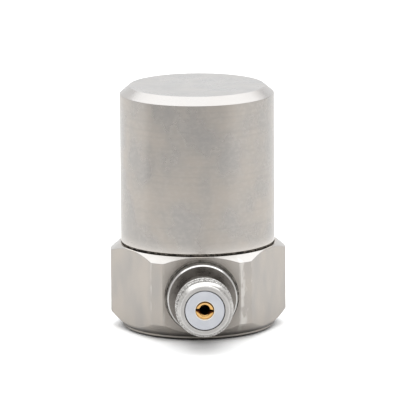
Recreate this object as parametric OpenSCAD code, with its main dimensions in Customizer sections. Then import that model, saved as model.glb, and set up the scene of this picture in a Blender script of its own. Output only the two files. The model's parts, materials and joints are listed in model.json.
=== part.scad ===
// Vibration sensor with a side outlet, in millimetres. A hexagon base with a tapped mounting hole
// carries a welded cap. Under the cap a stud clamps two piezo rings and a seismic mass, and a small
// amplifier board stands above them. A threaded coaxial connector leaves through one of the flats.
// The mounting face lies on z = 0, centred on the Z axis, and the connector points along -Y.

/* [Hexagon base] */
// Width across the flats
hex_af = 14; // [13:0.1:17]
// Height of the hexagon's top above the mounting face
hex_h = 7.45; // [7:0.05:10]
// Diameter that the corners are turned down to
corner_d = 15.5; // [14.6:0.1:18]
// Ledge of the hexagon's flat top around the cap
ledge_w = 0.17; // [0.05:0.01:0.6]
// Slope of the upper bevel, from level
upper_bevel = 36.5; // [20:0.5:55]
// Slope of the lower bevel, from level
lower_bevel = 47; // [20:0.5:60]
// Diameter of the round mounting foot
foot_d = 13.5; // [12:0.1:15]
// Height of the foot's straight side
foot_h = 0.3; // [0.2:0.05:0.8]
// Edge break around the mounting face
foot_edge = 0.15; // [0.05:0.01:0.2]

/* [Mounting hole] */
// Core diameter of the tapped hole, for an M5 thread
tap_d = 4.2; // [3:0.1:5]
// Depth of the hole at its full diameter
tap_depth = 4.4; // [3:0.1:4.8]
// Countersink at the hole's mouth, across and deep
tap_mouth = 0.4; // [0.2:0.05:0.45]
// Point angle of the drill
drill_angle = 118; // [90:1:140]

/* [Cap] */
// Outer diameter
cap_d = 13.6; // [12.6:0.1:15]
// Height from the rim to the top
cap_h = 13.85; // [12.5:0.05:18]
// Thickness of the side wall
cap_wall = 0.75; // [0.5:0.05:0.9]
// Thickness of the roof
cap_roof = 0.9; // [0.6:0.05:1.4]
// Width of the top chamfer, seen from above
cap_bevel_w = 0.82; // [0.2:0.02:1.2]
// Height of the top chamfer
cap_bevel_h = 0.7; // [0.2:0.02:1.2]
// Edge break around the rim
cap_edge = 0.1; // [0.03:0.01:0.15]
// Height of the weld groove under the rim
seam_h = 0.15; // [0.1:0.01:0.4]
// Depth of the weld groove
seam_depth = 0.3; // [0.1:0.02:0.4]
// Height of the spigot that the cap fits over
spigot_h = 1.4; // [0.8:0.1:2]
// Lead-in chamfer at the spigot's top
spigot_edge = 0.15; // [0.05:0.05:0.25]

/* [Connector] */
// Height of the connector's axis above the middle of the hexagon's side
outlet_rise = 0.065; // [0:0.005:0.1]
// Diameter of the flange
flange_d = 6.1; // [5.4:0.1:6.4]
// Reach of the flange past the flat
flange_reach = 1.15; // [0.6:0.05:2]
// Chamfer on the flange's front rim
flange_edge = 0.12; // [0.04:0.01:0.25]
// Depth of the round recess that the flange is welded into
recess_depth = 0.3; // [0.15:0.05:0.5]
// Width of the open ring around the flange
recess_gap = 0.2; // [0.1:0.02:0.3]
// Outer diameter of the connector's thread, M5
thread_d = 5; // [4.6:0.1:5.4]
// Length of the full thread
thread_len = 1.8; // [1.2:0.1:4]
// Length of the undercut between the flange and the thread
neck_len = 2.1; // [0.8:0.1:3]
// Depth of the undercut below the thread's crest
neck_depth = 0.45; // [0.3:0.05:0.6]
// Lead-in chamfer at the nose, along the axis
nose_len = 0.5; // [0.2:0.05:0.8]
// Lead-in chamfer at the nose, across
nose_w = 0.36; // [0.15:0.02:0.45]
// Chamfer at the back of the thread
thread_back = 0.2; // [0.1:0.05:0.3]
// Diameter of the shell's rear spigot
shell_tail_d = 4.4; // [4:0.1:5]
// Diameter of the white insulator in the nose
insulator_d = 3.38; // [2.8:0.02:3.6]
// Length of the insulator's wide front part
insulator_front = 1.95; // [1:0.05:2.3]
// Diameter of the glass bead that seals the shell
bead_d = 2.4; // [2:0.1:2.8]
// Length of the glass bead
bead_len = 2.2; // [1.5:0.1:2.4]
// Length of the chamber behind the bead, where the lead is soldered
chamber_len = 1.4; // [1.2:0.1:1.6]
// Space around the bead in that chamber
chamber_gap = 0.2; // [0.1:0.05:0.5]

/* [Centre contact] */
// Outer diameter of the contact
contact_d = 1.6; // [1.3:0.05:1.8]
// Diameter of the contact's bore
contact_bore = 0.84; // [0.6:0.02:1]
// Depth of the contact's bore
contact_depth = 2.4; // [1.5:0.1:3]
// Length of the contact's wide part
contact_len = 3.2; // [2.6:0.1:3.6]
// Set-back of the contact behind the insulator's face
contact_back = 0.25; // [0.05:0.05:0.5]
// Width of the slot across the contact
slot_w = 0.17; // [0.1:0.01:0.22]
// Length of the slot
slot_len = 2.1; // [1:0.1:2.4]
// Turn of the slot about the contact's axis
slot_turn = 5; // [-45:1:45]
// Diameter of the contact's tail
tail_d = 0.8; // [0.7:0.05:1]

/* [Sensing stack] */
// Diameter of the preload stud, M3
stud_d = 3; // [2.5:0.1:3.4]
// Length of the stud in the base
stud_hold = 2.3; // [1.5:0.1:2.4]
// Stud left above the nut
stud_proud = 0.3; // [0.1:0.05:0.6]
// Chamfer at both ends of the stud
stud_edge = 0.25; // [0.1:0.05:0.4]
// Wall of the insulating sleeve on the stud
sleeve_wall = 0.3; // [0.2:0.05:0.5]
// Thickness of each piezo ring
crystal_h = 1; // [0.5:0.1:1.5]
// Thickness of the signal electrode
electrode_h = 0.15; // [0.1:0.05:0.3]
// Width of the electrode's solder tab
tab_w = 1.2; // [0.8:0.1:2]
// Thickness of each contact washer
washer_h = 0.1; // [0.05:0.05:0.3]
// Overhang of the seismic mass past the piezo rings
mass_over = 0.3; // [0:0.05:0.6]
// Outer diameter of the disc spring
spring_d = 6.4; // [5:0.1:7]
// Thickness of the disc spring
spring_t = 0.3; // [0.2:0.05:0.4]
// Rise of the disc spring's cone
spring_rise = 0.25; // [0.1:0.05:0.4]
// Width across the nut's flats
nut_af = 5.5; // [5:0.1:6.5]
// Height of the nut
nut_h = 1.6; // [1.2:0.1:2.4]
// Slope of the chamfer on the nut's corners, from level
nut_bevel = 30; // [15:1:40]

/* [Amplifier] */
// Wall of the plastic tube that carries the board
carrier_wall = 0.65; // [0.5:0.05:0.9]
// Wall of the carrier's rim around the board
carrier_rim = 0.3; // [0.2:0.05:0.4]
// Thickness of the circuit board
board_h = 0.8; // [0.5:0.1:1.2]
// Free height above the board
head_room = 1.9; // [1.5:0.1:2.5]
// Free height between the stud and the board
stud_room = 0.6; // [0.3:0.1:1.2]
// Length of the amplifier chip's body
chip_l = 2.9; // [2:0.1:4]
// Width of the amplifier chip's body
chip_w = 1.6; // [1:0.1:2.5]
// Height of the amplifier chip
chip_h = 1.1; // [0.6:0.1:1.3]
// Pitch of the chip's legs
leg_pitch = 0.95; // [0.6:0.05:0.95]
// Width of a leg
leg_w = 0.4; // [0.2:0.05:0.5]
// Reach of the legs past the chip's body
leg_reach = 0.4; // [0.2:0.05:0.6]
// Height of the legs
leg_h = 0.55; // [0.3:0.05:0.6]
// Gap between the chip's body and the board
chip_gap = 0.1; // [0:0.05:0.2]
// Length, width and height of a chip resistor
resistor_size = [1.6, 0.8, 0.45]; // [0.3:0.05:2]
// Length, width and height of the chip capacitor
capacitor_size = [2, 1.25, 1]; // [0.5:0.05:2.2]
// Space between the parts on the board
part_gap = 0.5; // [0.3:0.05:0.8]
// Diameter of the leads
lead_d = 0.5; // [0.3:0.05:0.6]
// Free space on each side of a lead
lead_gap = 0.15; // [0.1:0.05:0.3]
// Sideways slack of the leads
lead_slack = 0.5; // [0:0.1:1]

/* [Clearances] */
// Radial clearance of the cap on its spigot
cap_fit = 0.02; // [0.01:0.01:0.05]
// Radial clearance of turned and threaded fits
turned_fit = 0.02; // [0.01:0.01:0.04]
// Radial clearance of the insulator in the nose
insulator_fit = 0.08; // [0.02:0.01:0.1]
// Radial clearance of stack parts and of the carrier
loose_fit = 0.05; // [0.02:0.01:0.1]

/* [Hidden] */
$fn = 96;

// Cuts run this far past the face that they start from
cut = 0.5;

// Radii, from the cap inwards
cap_r = cap_d / 2;
cap_in_r = cap_r - cap_wall;
spigot_r = cap_in_r - cap_fit;
seam_r = cap_r - seam_depth;
carrier_r = cap_in_r - loose_fit;
carrier_in_r = carrier_r - carrier_wall;
board_seat_r = carrier_r - carrier_rim;
board_r = board_seat_r - loose_fit;
lead_r = lead_d / 2;
lead_circle = carrier_in_r - lead_gap - lead_r;
mass_r = lead_circle - lead_r - lead_gap;
crystal_r = mass_r - mass_over;
stud_r = stud_d / 2;
sleeve_in_r = stud_r + loose_fit;
sleeve_r = sleeve_in_r + sleeve_wall;
ring_bore_r = sleeve_r + loose_fit;
hex_top_r = cap_r + ledge_w;
corner_r = corner_d / 2;
foot_r = foot_d / 2;
tap_r = tap_d / 2;

// Heights, from the mounting face to the cap's rim and the deck that the stack stands on
seat_z = hex_h + seam_h;
deck_z = seat_z + spigot_h;
cap_top_z = seat_z + cap_h;
roof_z = cap_top_z - cap_roof;

// Heights, from the roof down to the nut
board_top_z = roof_z - head_room;
board_z = board_top_z - board_h;
stud_top_z = board_z - stud_room;
nut_z = stud_top_z - stud_proud - nut_h;
spring_z = nut_z - spring_rise - spring_t;

// Heights of the stack, from the deck up: the mass fills what is left under the spring
lower_crystal_z = deck_z + washer_h;
electrode_z = lower_crystal_z + crystal_h;
upper_crystal_z = electrode_z + electrode_h;
upper_washer_z = upper_crystal_z + crystal_h;
mass_z = upper_washer_z + washer_h;

// Connector stations, counted outwards from the flat along the connector's axis
flat_y = hex_af / 2;
outlet_z = (foot_h + hex_h) / 2 + outlet_rise;
flange_r = flange_d / 2;
recess_r = flange_r + recess_gap;
thread_r = thread_d / 2;
neck_r = thread_r - neck_depth;
shell_tail_r = shell_tail_d / 2;
thread_s = flange_reach + neck_len;
nose_s = thread_s + thread_len;
front_s = nose_s + nose_len;
insulator_r = insulator_d / 2;
insulator_step_s = front_s - insulator_front;
contact_front_s = front_s - contact_back;
contact_r = contact_d / 2;
contact_step_s = contact_front_s - contact_len;
bead_r = bead_d / 2;
tail_r = tail_d / 2;

// The outlet chamber lies under the lead circle, and the shell's tail ends at its front
chamber_r = bead_r + chamber_gap;
shell_end_s = lead_circle + chamber_len / 2 - flat_y;
bead_front_s = shell_end_s + bead_len;
tail_end_s = lead_circle - lead_r - lead_gap - flat_y;
tail_flat = lead_r / 2;
tail_flat_s = shell_end_s - lead_gap;
channel_r = lead_r + lead_gap;

// Places of the leads around the axis
output_angle = -90;
signal_angle = 150;
ground_angle = 30;
lead_sides = 8;
lead_rings = 12;

// Draws its children with +Z along the connector's axis, from the middle of the flat
module on_outlet() {
    translate([0, -flat_y, outlet_z])
        rotate([90, 0, 0])
            children();
}

module turned(profile) {
    rotate_extrude()
        polygon(profile);
}

module ring(outer_r, inner_r, height) {
    difference() {
        cylinder(r = outer_r, h = height);
        translate([0, 0, -cut])
            cylinder(r = inner_r, h = height + 2 * cut);
    }
}

module hexagon(af, height) {
    cylinder(r = af / 2 / cos(30), h = height, $fn = 6);
}

// The hexagon bar after turning: foot, lower bevel, corners and upper bevel
module hexagon_body() {
    intersection() {
        hexagon(hex_af, hex_h);
        turned([
            [0, 0],
            [foot_r - foot_edge, 0],
            [foot_r, foot_edge],
            [foot_r, foot_h],
            [corner_r, foot_h + (corner_r - foot_r) * tan(lower_bevel)],
            [corner_r, hex_h - (corner_r - hex_top_r) * tan(upper_bevel)],
            [hex_top_r, hex_h],
            [0, hex_h]
        ]);
    }
}

// Weld groove and the spigot that locates the cap
module cap_spigot() {
    translate([0, 0, hex_h - cut])
        cylinder(r = seam_r, h = seam_h + cut);
    turned([
        [0, hex_h],
        [spigot_r, hex_h],
        [spigot_r, deck_z - spigot_edge],
        [spigot_r - spigot_edge, deck_z],
        [0, deck_z]
    ]);
}

module mounting_hole() {
    tip_h = tap_r / tan(drill_angle / 2);
    turned([
        [0, -cut],
        [tap_r + tap_mouth + cut, -cut],
        [tap_r, tap_mouth],
        [tap_r, tap_depth],
        [0, tap_depth + tip_h]
    ]);
}

// Recess for the flange, bore for the shell's tail and chamber for the soldered lead
module outlet_hole() {
    on_outlet() {
        translate([0, 0, -recess_depth])
            cylinder(r = recess_r, h = recess_depth + cut);
        translate([0, 0, shell_end_s])
            cylinder(r = shell_tail_r + turned_fit, h = -shell_end_s);
        translate([0, 0, shell_end_s - chamber_len])
            cylinder(r = chamber_r, h = chamber_len + cut);
    }
}

module base() {
    color("silver")
        difference() {
            union() {
                hexagon_body();
                cap_spigot();
            }
            mounting_hole();
            outlet_hole();
            translate([0, 0, deck_z - stud_hold - turned_fit])
                cylinder(r = stud_r + turned_fit, h = stud_hold + cut);
            translate([0, -lead_circle, outlet_z])
                cylinder(r = channel_r, h = deck_z - outlet_z + cut);
        }
}

module cap() {
    color("gainsboro")
        turned([
            [cap_in_r, seat_z],
            [cap_r - cap_edge, seat_z],
            [cap_r, seat_z + cap_edge],
            [cap_r, cap_top_z - cap_bevel_h],
            [cap_r - cap_bevel_w, cap_top_z],
            [0, cap_top_z],
            [0, roof_z],
            [cap_in_r, roof_z]
        ]);
}

module connector_shell() {
    color("lightgray")
        on_outlet()
            turned([
                [bead_r, shell_end_s],
                [shell_tail_r, shell_end_s],
                [shell_tail_r, -recess_depth],
                [flange_r, -recess_depth],
                [flange_r, flange_reach - flange_edge],
                [flange_r - flange_edge, flange_reach],
                [neck_r, flange_reach],
                [neck_r, thread_s],
                [thread_r - thread_back, thread_s],
                [thread_r, thread_s + thread_back],
                [thread_r, nose_s],
                [thread_r - nose_w, front_s],
                [insulator_r + insulator_fit, front_s],
                [insulator_r + insulator_fit, insulator_step_s],
                [bead_r, insulator_step_s]
            ]);
}

module connector_insulator() {
    color("white")
        on_outlet()
            turned([
                [tail_r + turned_fit, bead_front_s],
                [bead_r - turned_fit, bead_front_s],
                [bead_r - turned_fit, insulator_step_s],
                [insulator_r, insulator_step_s],
                [insulator_r, front_s],
                [contact_r + turned_fit, front_s],
                [contact_r + turned_fit, contact_step_s],
                [tail_r + turned_fit, contact_step_s]
            ]);
}

// Slotted socket, with a tail milled flat on top where the lead is soldered
module contact_socket() {
    color("goldenrod")
        on_outlet()
            difference() {
                turned([
                    [0, tail_end_s],
                    [tail_r, tail_end_s],
                    [tail_r, contact_step_s],
                    [contact_r, contact_step_s],
                    [contact_r, contact_front_s],
                    [0, contact_front_s]
                ]);
                translate([0, 0, contact_front_s - contact_depth])
                    cylinder(d = contact_bore, h = contact_depth + cut);
                rotate(-slot_turn)
                    translate([-contact_d, -slot_w / 2, contact_front_s - slot_len])
                        cube([2 * contact_d, slot_w, slot_len + cut]);
                translate([-tail_d, tail_flat, tail_end_s - cut])
                    cube([2 * tail_d, tail_d, tail_flat_s - tail_end_s + cut]);
            }
}

module glass_bead() {
    color("teal")
        on_outlet()
            translate([0, 0, shell_end_s])
                ring(bead_r - turned_fit, tail_r + turned_fit, bead_len);
}

module preload_stud() {
    foot_z = deck_z - stud_hold;
    color("gray")
        turned([
            [0, foot_z],
            [stud_r - stud_edge, foot_z],
            [stud_r, foot_z + stud_edge],
            [stud_r, stud_top_z - stud_edge],
            [stud_r - stud_edge, stud_top_z],
            [0, stud_top_z]
        ]);
}

module stud_sleeve() {
    color("ivory")
        translate([0, 0, deck_z])
            ring(sleeve_r, sleeve_in_r, mass_z - deck_z);
}

module lower_contact_washer() {
    color("peru")
        translate([0, 0, deck_z])
            ring(crystal_r, ring_bore_r, washer_h);
}

module lower_crystal() {
    color("darkkhaki")
        translate([0, 0, lower_crystal_z])
            ring(crystal_r, ring_bore_r, crystal_h);
}

// Ring with a tab that reaches under the signal lead
module signal_electrode() {
    color("peru")
        translate([0, 0, electrode_z])
            linear_extrude(electrode_h)
                difference() {
                    union() {
                        circle(r = crystal_r);
                        rotate(signal_angle)
                            translate([0, -tab_w / 2])
                                square([lead_circle + lead_r, tab_w]);
                    }
                    circle(r = ring_bore_r);
                }
}

module upper_crystal() {
    color("darkkhaki")
        translate([0, 0, upper_crystal_z])
            ring(crystal_r, ring_bore_r, crystal_h);
}

module upper_contact_washer() {
    color("peru")
        translate([0, 0, upper_washer_z])
            ring(crystal_r, ring_bore_r, washer_h);
}

module seismic_mass() {
    color("dimgray")
        translate([0, 0, mass_z])
            ring(mass_r, stud_r + loose_fit, spring_z - mass_z);
}

// Cone that rests on the mass at its outer edge and under the nut at its inner edge
module disc_spring() {
    spring_in_r = stud_r + 2 * loose_fit;
    spring_r = spring_d / 2;
    color("slategray")
        translate([0, 0, spring_z])
            turned([
                [spring_in_r, spring_rise],
                [spring_r, 0],
                [spring_r, spring_t],
                [spring_in_r, spring_rise + spring_t]
            ]);
}

// Hexagon nut, with its corners chamfered on top
module preload_nut() {
    flat_r = nut_af / 2;
    nut_corner_r = flat_r / cos(30);
    nut_bore_r = stud_r + turned_fit;
    color("darkgray")
        translate([0, 0, nut_z])
            intersection() {
                hexagon(nut_af, nut_h);
                turned([
                    [nut_bore_r, 0],
                    [nut_corner_r + cut, 0],
                    [nut_corner_r + cut, nut_h - (nut_corner_r + cut - flat_r) * tan(nut_bevel)],
                    [flat_r, nut_h],
                    [nut_bore_r, nut_h]
                ]);
            }
}

// Tube that stands on the deck, with a rebate at the top for the board
module board_carrier() {
    color("beige")
        turned([
            [carrier_in_r, deck_z],
            [carrier_r, deck_z],
            [carrier_r, board_top_z],
            [board_seat_r, board_top_z],
            [board_seat_r, board_z],
            [carrier_in_r, board_z]
        ]);
}

module circuit_board() {
    color("darkgreen")
        translate([0, 0, board_z])
            cylinder(r = board_r, h = board_h);
}

// Places its children on the board
module on_board(x, y) {
    translate([x, y, board_top_z])
        children();
}

module block(size) {
    translate([-size[0] / 2, -size[1] / 2, 0])
        cube(size);
}

// Moulded body on two rows of legs
module amplifier_chip() {
    color("black")
        on_board(0, 0) {
            translate([0, 0, chip_gap])
                block([chip_l, chip_w, chip_h - chip_gap]);
            for (i = [-1, 0, 1])
                translate([i * leg_pitch, 0, 0])
                    block([leg_w, chip_w + 2 * leg_reach, leg_h]);
        }
}

// One row on each long side of the chip
module chip_resistors() {
    row_y = chip_w / 2 + leg_reach + part_gap + resistor_size[1] / 2;
    column_x = (resistor_size[0] + part_gap) / 2;
    color("darkslategray")
        for (x = [-1, 1], y = [-1, 1])
            on_board(x * column_x, y * row_y)
                block(resistor_size);
}

module chip_capacitor() {
    color("tan")
        on_board((chip_l + capacitor_size[1]) / 2 + part_gap, 0)
            rotate(90)
                block(capacitor_size);
}

// A point of a lead, which stands on the lead circle and sways along it
function lead_point(angle, sway, z) = [
    lead_circle * cos(angle) - sway * sin(angle),
    lead_circle * sin(angle) + sway * cos(angle),
    z
];

// Centre line of a lead, straight at both ends and with its slack above the deck
function lead_route(angle, low_z, high_z) =
    let (start_z = max(low_z, deck_z) + lead_d, rise = high_z - lead_d - start_z)
    [
        lead_point(angle, 0, low_z),
        for (i = [0:lead_rings])
            let (t = i / lead_rings)
                lead_point(angle, lead_slack * pow(sin(180 * t), 2), start_z + rise * t),
        lead_point(angle, 0, high_z)
    ];

// Round lead of level rings along a rising route
module lead(route) {
    last = len(route) - 1;
    function corner(ring_no, k) = ring_no * lead_sides + k % lead_sides;
    polyhedron(
        points = [
            for (p = route, k = [0:lead_sides - 1])
                p + lead_r * [cos(360 * k / lead_sides), sin(360 * k / lead_sides), 0]
        ],
        faces = [
            [for (k = [0:lead_sides - 1]) corner(0, k)],
            for (i = [0:last - 1], k = [0:lead_sides - 1])
                [corner(i, k), corner(i + 1, k), corner(i + 1, k + 1), corner(i, k + 1)],
            [for (k = [lead_sides - 1:-1:0]) corner(last, k)]
        ]
    );
}

module signal_lead() {
    color("red")
        lead(lead_route(signal_angle, electrode_z + electrode_h, board_z));
}

module output_lead() {
    color("gold")
        lead(lead_route(output_angle, outlet_z + tail_flat, board_z));
}

module ground_lead() {
    color("navy")
        lead(lead_route(ground_angle, deck_z, board_z));
}

base();
cap();
connector_shell();
connector_insulator();
contact_socket();
glass_bead();
preload_stud();
stud_sleeve();
lower_contact_washer();
lower_crystal();
signal_electrode();
upper_crystal();
upper_contact_washer();
seismic_mass();
disc_spring();
preload_nut();
board_carrier();
circuit_board();
amplifier_chip();
chip_resistors();
chip_capacitor();
signal_lead();
output_lead();
ground_lead();
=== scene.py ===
# %% [markdown]
# # A small vibration sensor
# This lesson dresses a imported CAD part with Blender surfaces. The real object is a stainless
# sensor: a turned cap is welded on a hexagon base, and a threaded coaxial outlet stands on the
# front flat. The CAD solids carry the true sizes, so they are loaded first as a fixed frame, and
# every piece made below is placed from them.

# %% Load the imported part
import json
import math

import bmesh
import bpy
from mathutils import Matrix, Quaternion, Vector


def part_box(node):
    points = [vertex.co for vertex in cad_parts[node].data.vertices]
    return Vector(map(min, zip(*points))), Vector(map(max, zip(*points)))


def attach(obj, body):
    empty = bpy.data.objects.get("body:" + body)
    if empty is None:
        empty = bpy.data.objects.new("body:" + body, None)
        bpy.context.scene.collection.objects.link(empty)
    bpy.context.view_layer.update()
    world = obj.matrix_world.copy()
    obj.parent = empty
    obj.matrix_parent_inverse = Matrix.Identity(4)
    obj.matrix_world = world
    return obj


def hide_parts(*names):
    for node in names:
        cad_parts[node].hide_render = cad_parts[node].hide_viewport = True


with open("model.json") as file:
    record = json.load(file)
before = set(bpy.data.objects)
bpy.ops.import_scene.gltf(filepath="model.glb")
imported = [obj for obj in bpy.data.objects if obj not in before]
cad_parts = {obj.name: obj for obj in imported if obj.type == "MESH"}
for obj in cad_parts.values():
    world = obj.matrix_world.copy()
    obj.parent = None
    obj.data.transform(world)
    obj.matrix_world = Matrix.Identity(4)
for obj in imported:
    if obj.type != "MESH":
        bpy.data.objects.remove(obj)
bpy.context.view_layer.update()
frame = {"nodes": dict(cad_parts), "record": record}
MM = 0.001

# %% [markdown]
# ## The camera
# The photograph is a long view from a little above, so the cap's sides stay parallel and its top
# is a thin ellipse. The view could be set by eye, but edges of the cap, hexagon and outlet were
# measured instead and a camera was fitted to them. What it gave is written here: the focal length
# in pixels, the distance, three angles and the aim.

# %% Camera
IMAGE_SIDE = 400
FOCAL_PIXELS = 4526.7
CAMERA_DISTANCE = 0.4
AZIMUTH = math.radians(-2.6)
ELEVATION = math.radians(11.52)
ROLL = math.radians(-0.413)
AIM = Vector((0.215, 0, 11.105)) * MM

back = Vector((
    math.sin(AZIMUTH) * math.cos(ELEVATION),
    -math.cos(AZIMUTH) * math.cos(ELEVATION),
    math.sin(ELEVATION),
))
camera_data = bpy.data.cameras.new("camera")
camera_data.sensor_width = 36
camera_data.lens = FOCAL_PIXELS / IMAGE_SIDE * camera_data.sensor_width
camera = bpy.data.objects.new("camera", camera_data)
camera.location = AIM + back * CAMERA_DISTANCE
camera.rotation_mode = "QUATERNION"
camera.rotation_quaternion = (-back).to_track_quat("-Z", "Y") @ Quaternion((0, 0, 1), ROLL)
bpy.context.scene.collection.objects.link(camera)
bpy.context.scene.camera = camera
bpy.context.scene.view_settings.view_transform = "Standard"
print("camera lens in mm:", round(camera_data.lens, 1))

# %% [markdown]
# ## Node helpers
# Materials and Geometry Nodes are both trees of nodes. Four short helpers keep the trees
# readable: one feeds a socket, one adds a node with its settings and inputs, one adds a single
# sum, and one starts a node group. An input may be a plain value or another node's output.

# %% Node helpers
def feed(tree, socket, value):
    """Links an output to a socket, or sets a plain value on it."""
    if isinstance(value, bpy.types.NodeSocket):
        tree.links.new(value, socket)
    else:
        socket.default_value = value


def add(tree, kind, inputs=None, **settings):
    """Adds a node, makes its settings, and feeds its named or numbered inputs."""
    node = tree.nodes.new(kind)
    for name, value in settings.items():
        setattr(node, name, value)
    for name, value in (inputs or {}).items():
        feed(tree, node.inputs[name], value)
    return node


def calc(tree, operation, *values):
    """Adds one Math node and returns its result."""
    node = tree.nodes.new("ShaderNodeMath")
    node.operation = operation
    for socket, value in zip(node.inputs, values):
        feed(tree, socket, value)
    return node.outputs[0]


def new_tree(name, kind, inputs, outputs):
    """Makes a node group with named sockets, and returns it with its input and output nodes."""
    tree = bpy.data.node_groups.new(name, kind)
    for in_out, sockets in (("INPUT", inputs), ("OUTPUT", outputs)):
        for socket_name, socket_kind in sockets.items():
            full_kind = "NodeSocket" + socket_kind
            tree.interface.new_socket(socket_name, in_out=in_out, socket_type=full_kind)
    return tree, tree.nodes.new("NodeGroupInput"), tree.nodes.new("NodeGroupOutput")


print("helpers ready: feed, add, calc, new_tree")

# %% [markdown]
# ## Points and ranges
# Most finishes on a turned piece depend on two things: how far a point is from the axis, and how
# high it lies. These helpers take a point apart, join values into one, measure the distance from
# the axis, and map one range of values on another.

# %% Points and ranges
def parts(tree, point):
    """The X, Y and Z of a point."""
    return add(tree, "ShaderNodeSeparateXYZ", {0: point}).outputs


def joined(tree, x=0.0, y=0.0, z=0.0):
    """A point made from three values."""
    return add(tree, "ShaderNodeCombineXYZ", {"X": x, "Y": y, "Z": z}).outputs[0]


def distance_from_axis(tree, x, y):
    """How far a point lies from the Z axis."""
    flat = joined(tree, x, y)
    return add(tree, "ShaderNodeVectorMath", {0: flat}, operation="LENGTH").outputs["Value"]


def span(tree, value, low, high, at_low=0.0, at_high=1.0, fade="LINEAR"):
    """Maps low .. high on at_low .. at_high, and holds the end values beyond them."""
    node = add(tree, "ShaderNodeMapRange", {"Value": value}, interpolation_type=fade)
    feed(tree, node.inputs["From Min"], low)
    feed(tree, node.inputs["From Max"], high)
    feed(tree, node.inputs["To Min"], at_low)
    feed(tree, node.inputs["To Max"], at_high)
    return node.outputs[0]


print("helpers ready: parts, joined, distance_from_axis, span")

# %% [markdown]
# ## The studio
# The sensor stood on white paper in a bright, even room. Bare steel has hardly any colour of its
# own: it shows its surroundings, so the room matters more than the metal. The paper is white
# where the camera sees it, straight or in metal and glass, which Light Path tells, and a little
# greyer for the light that it scatters, so that it does not flood the front. The foot stands a
# hair above the paper, which keeps a thin dark line under it.

# %% Paper floor and white room
FLOOR_SIDE = 6.0
FLOOR_Z = -0.08 * MM
PAPER_WHITE = (0.99, 0.99, 0.99, 1)
PAPER_AROUND = (0.7, 0.7, 0.7, 1)
ROOM_WHITE = (1, 1, 1, 1)
ROOM_LIGHT = 0.85
MATT_ROUGHNESS = 0.9


def matt(name, colour):
    """A plain matt material for the studio's paper and cards."""
    material = bpy.data.materials.new(name)
    material.use_nodes = True
    shader = material.node_tree.nodes["Principled BSDF"]
    shader.inputs["Base Color"].default_value = colour
    shader.inputs["Roughness"].default_value = MATT_ROUGHNESS
    shader.inputs["Specular IOR Level"].default_value = 0.0
    return material


def sheet_of_card(name, corners, material):
    """A flat sheet through the given corners, for the studio."""
    mesh = bpy.data.meshes.new(name)
    mesh.from_pydata([Vector(c) for c in corners], [], [list(range(len(corners)))])
    mesh.materials.append(material)
    sheet = bpy.data.objects.new(name, mesh)
    bpy.context.scene.collection.objects.link(sheet)
    return sheet


def square_on_floor(half, height):
    """The corners of a square that lies flat round the middle of the floor."""
    return [(-half, -half, height), (half, -half, height), (half, half, height), (-half, half, height)]


paper = matt("white_paper", PAPER_WHITE)
paper_tree = paper.node_tree
ray = add(paper_tree, "ShaderNodeLightPath").outputs
mirrored = calc(paper_tree, "MAXIMUM", ray["Is Glossy Ray"], ray["Is Transmission Ray"])
paper_tint = add(paper_tree, "ShaderNodeMix", data_type="RGBA")
seen = calc(paper_tree, "MAXIMUM", ray["Is Camera Ray"], mirrored)
feed(paper_tree, paper_tint.inputs["Factor"], seen)
feed(paper_tree, paper_tint.inputs["A"], PAPER_AROUND)
feed(paper_tree, paper_tint.inputs["B"], PAPER_WHITE)
feed(paper_tree, paper_tree.nodes["Principled BSDF"].inputs["Base Color"], paper_tint.outputs["Result"])
floor = sheet_of_card("paper_floor", square_on_floor(FLOOR_SIDE / 2, FLOOR_Z), paper)
world = bpy.data.worlds.new("white_room")
world.use_nodes = True
background = world.node_tree.nodes["Background"]
background.inputs["Color"].default_value = ROOM_WHITE
background.inputs["Strength"].default_value = ROOM_LIGHT
bpy.context.scene.world = world
print("floor:", floor.name, "side in m:", FLOOR_SIDE)

# %% [markdown]
# ## Cards for the reflections
# Without something darker to mirror, the cap would melt into the white background. So a
# photographer sets grey cards where only the metal sees them: here a pale one lies round the
# sensor, a darker one lies further to the front, and a dark one stands on the camera's side. They
# are kept out of the camera's sight and throw no shadow, so that the paper stays white from every
# side.

# %% Grey cards
PALE_GREY = (0.7, 0.7, 0.7, 1)
PALE_HALF = 0.4
PALE_Z = -0.05 * MM
LYING_GREY = (0.47, 0.47, 0.47, 1)
LYING_Z = 0.2 * MM
LYING_CORNERS = (
    (-0.060, -0.010),
    (-0.045, -0.072),
    (0.06, -0.072),
    (0.5, -0.3),
    (0.5, -0.8),
    (-0.5, -0.8),
    (-0.5, -0.075),
)
CARD_GREY = (0.18, 0.18, 0.18, 1)
STANDING_Y = -0.9
STANDING_HALF = 1.0
STANDING_TOP = 0.2

pale_card = sheet_of_card("pale_card", square_on_floor(PALE_HALF, PALE_Z), matt("pale_grey", PALE_GREY))
standing_card = sheet_of_card(
    "standing_card",
    [
        (-STANDING_HALF, STANDING_Y, 0),
        (STANDING_HALF, STANDING_Y, 0),
        (STANDING_HALF, STANDING_Y, STANDING_TOP),
        (-STANDING_HALF, STANDING_Y, STANDING_TOP),
    ],
    matt("standing_grey", CARD_GREY),
)
lying_card = sheet_of_card(
    "lying_card",
    [(x, y, LYING_Z) for x, y in LYING_CORNERS],
    matt("lying_grey", LYING_GREY),
)
for card in (pale_card, standing_card, lying_card):
    card.visible_camera = False
    card.visible_diffuse = False
    card.visible_shadow = False
print("cards:", pale_card.name, standing_card.name, lying_card.name)

# %% [markdown]
# ## Soft lights
# A broad light hangs over the sensor and turns its bevels bright, and a weaker one behind it
# lights the cap's top. A soft fill on the camera's side opens the shadows on the front. The fill
# is left out of the reflections, because its square shape would show in the steel. All are kept
# weak, so that colours come out about as they are written.

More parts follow.
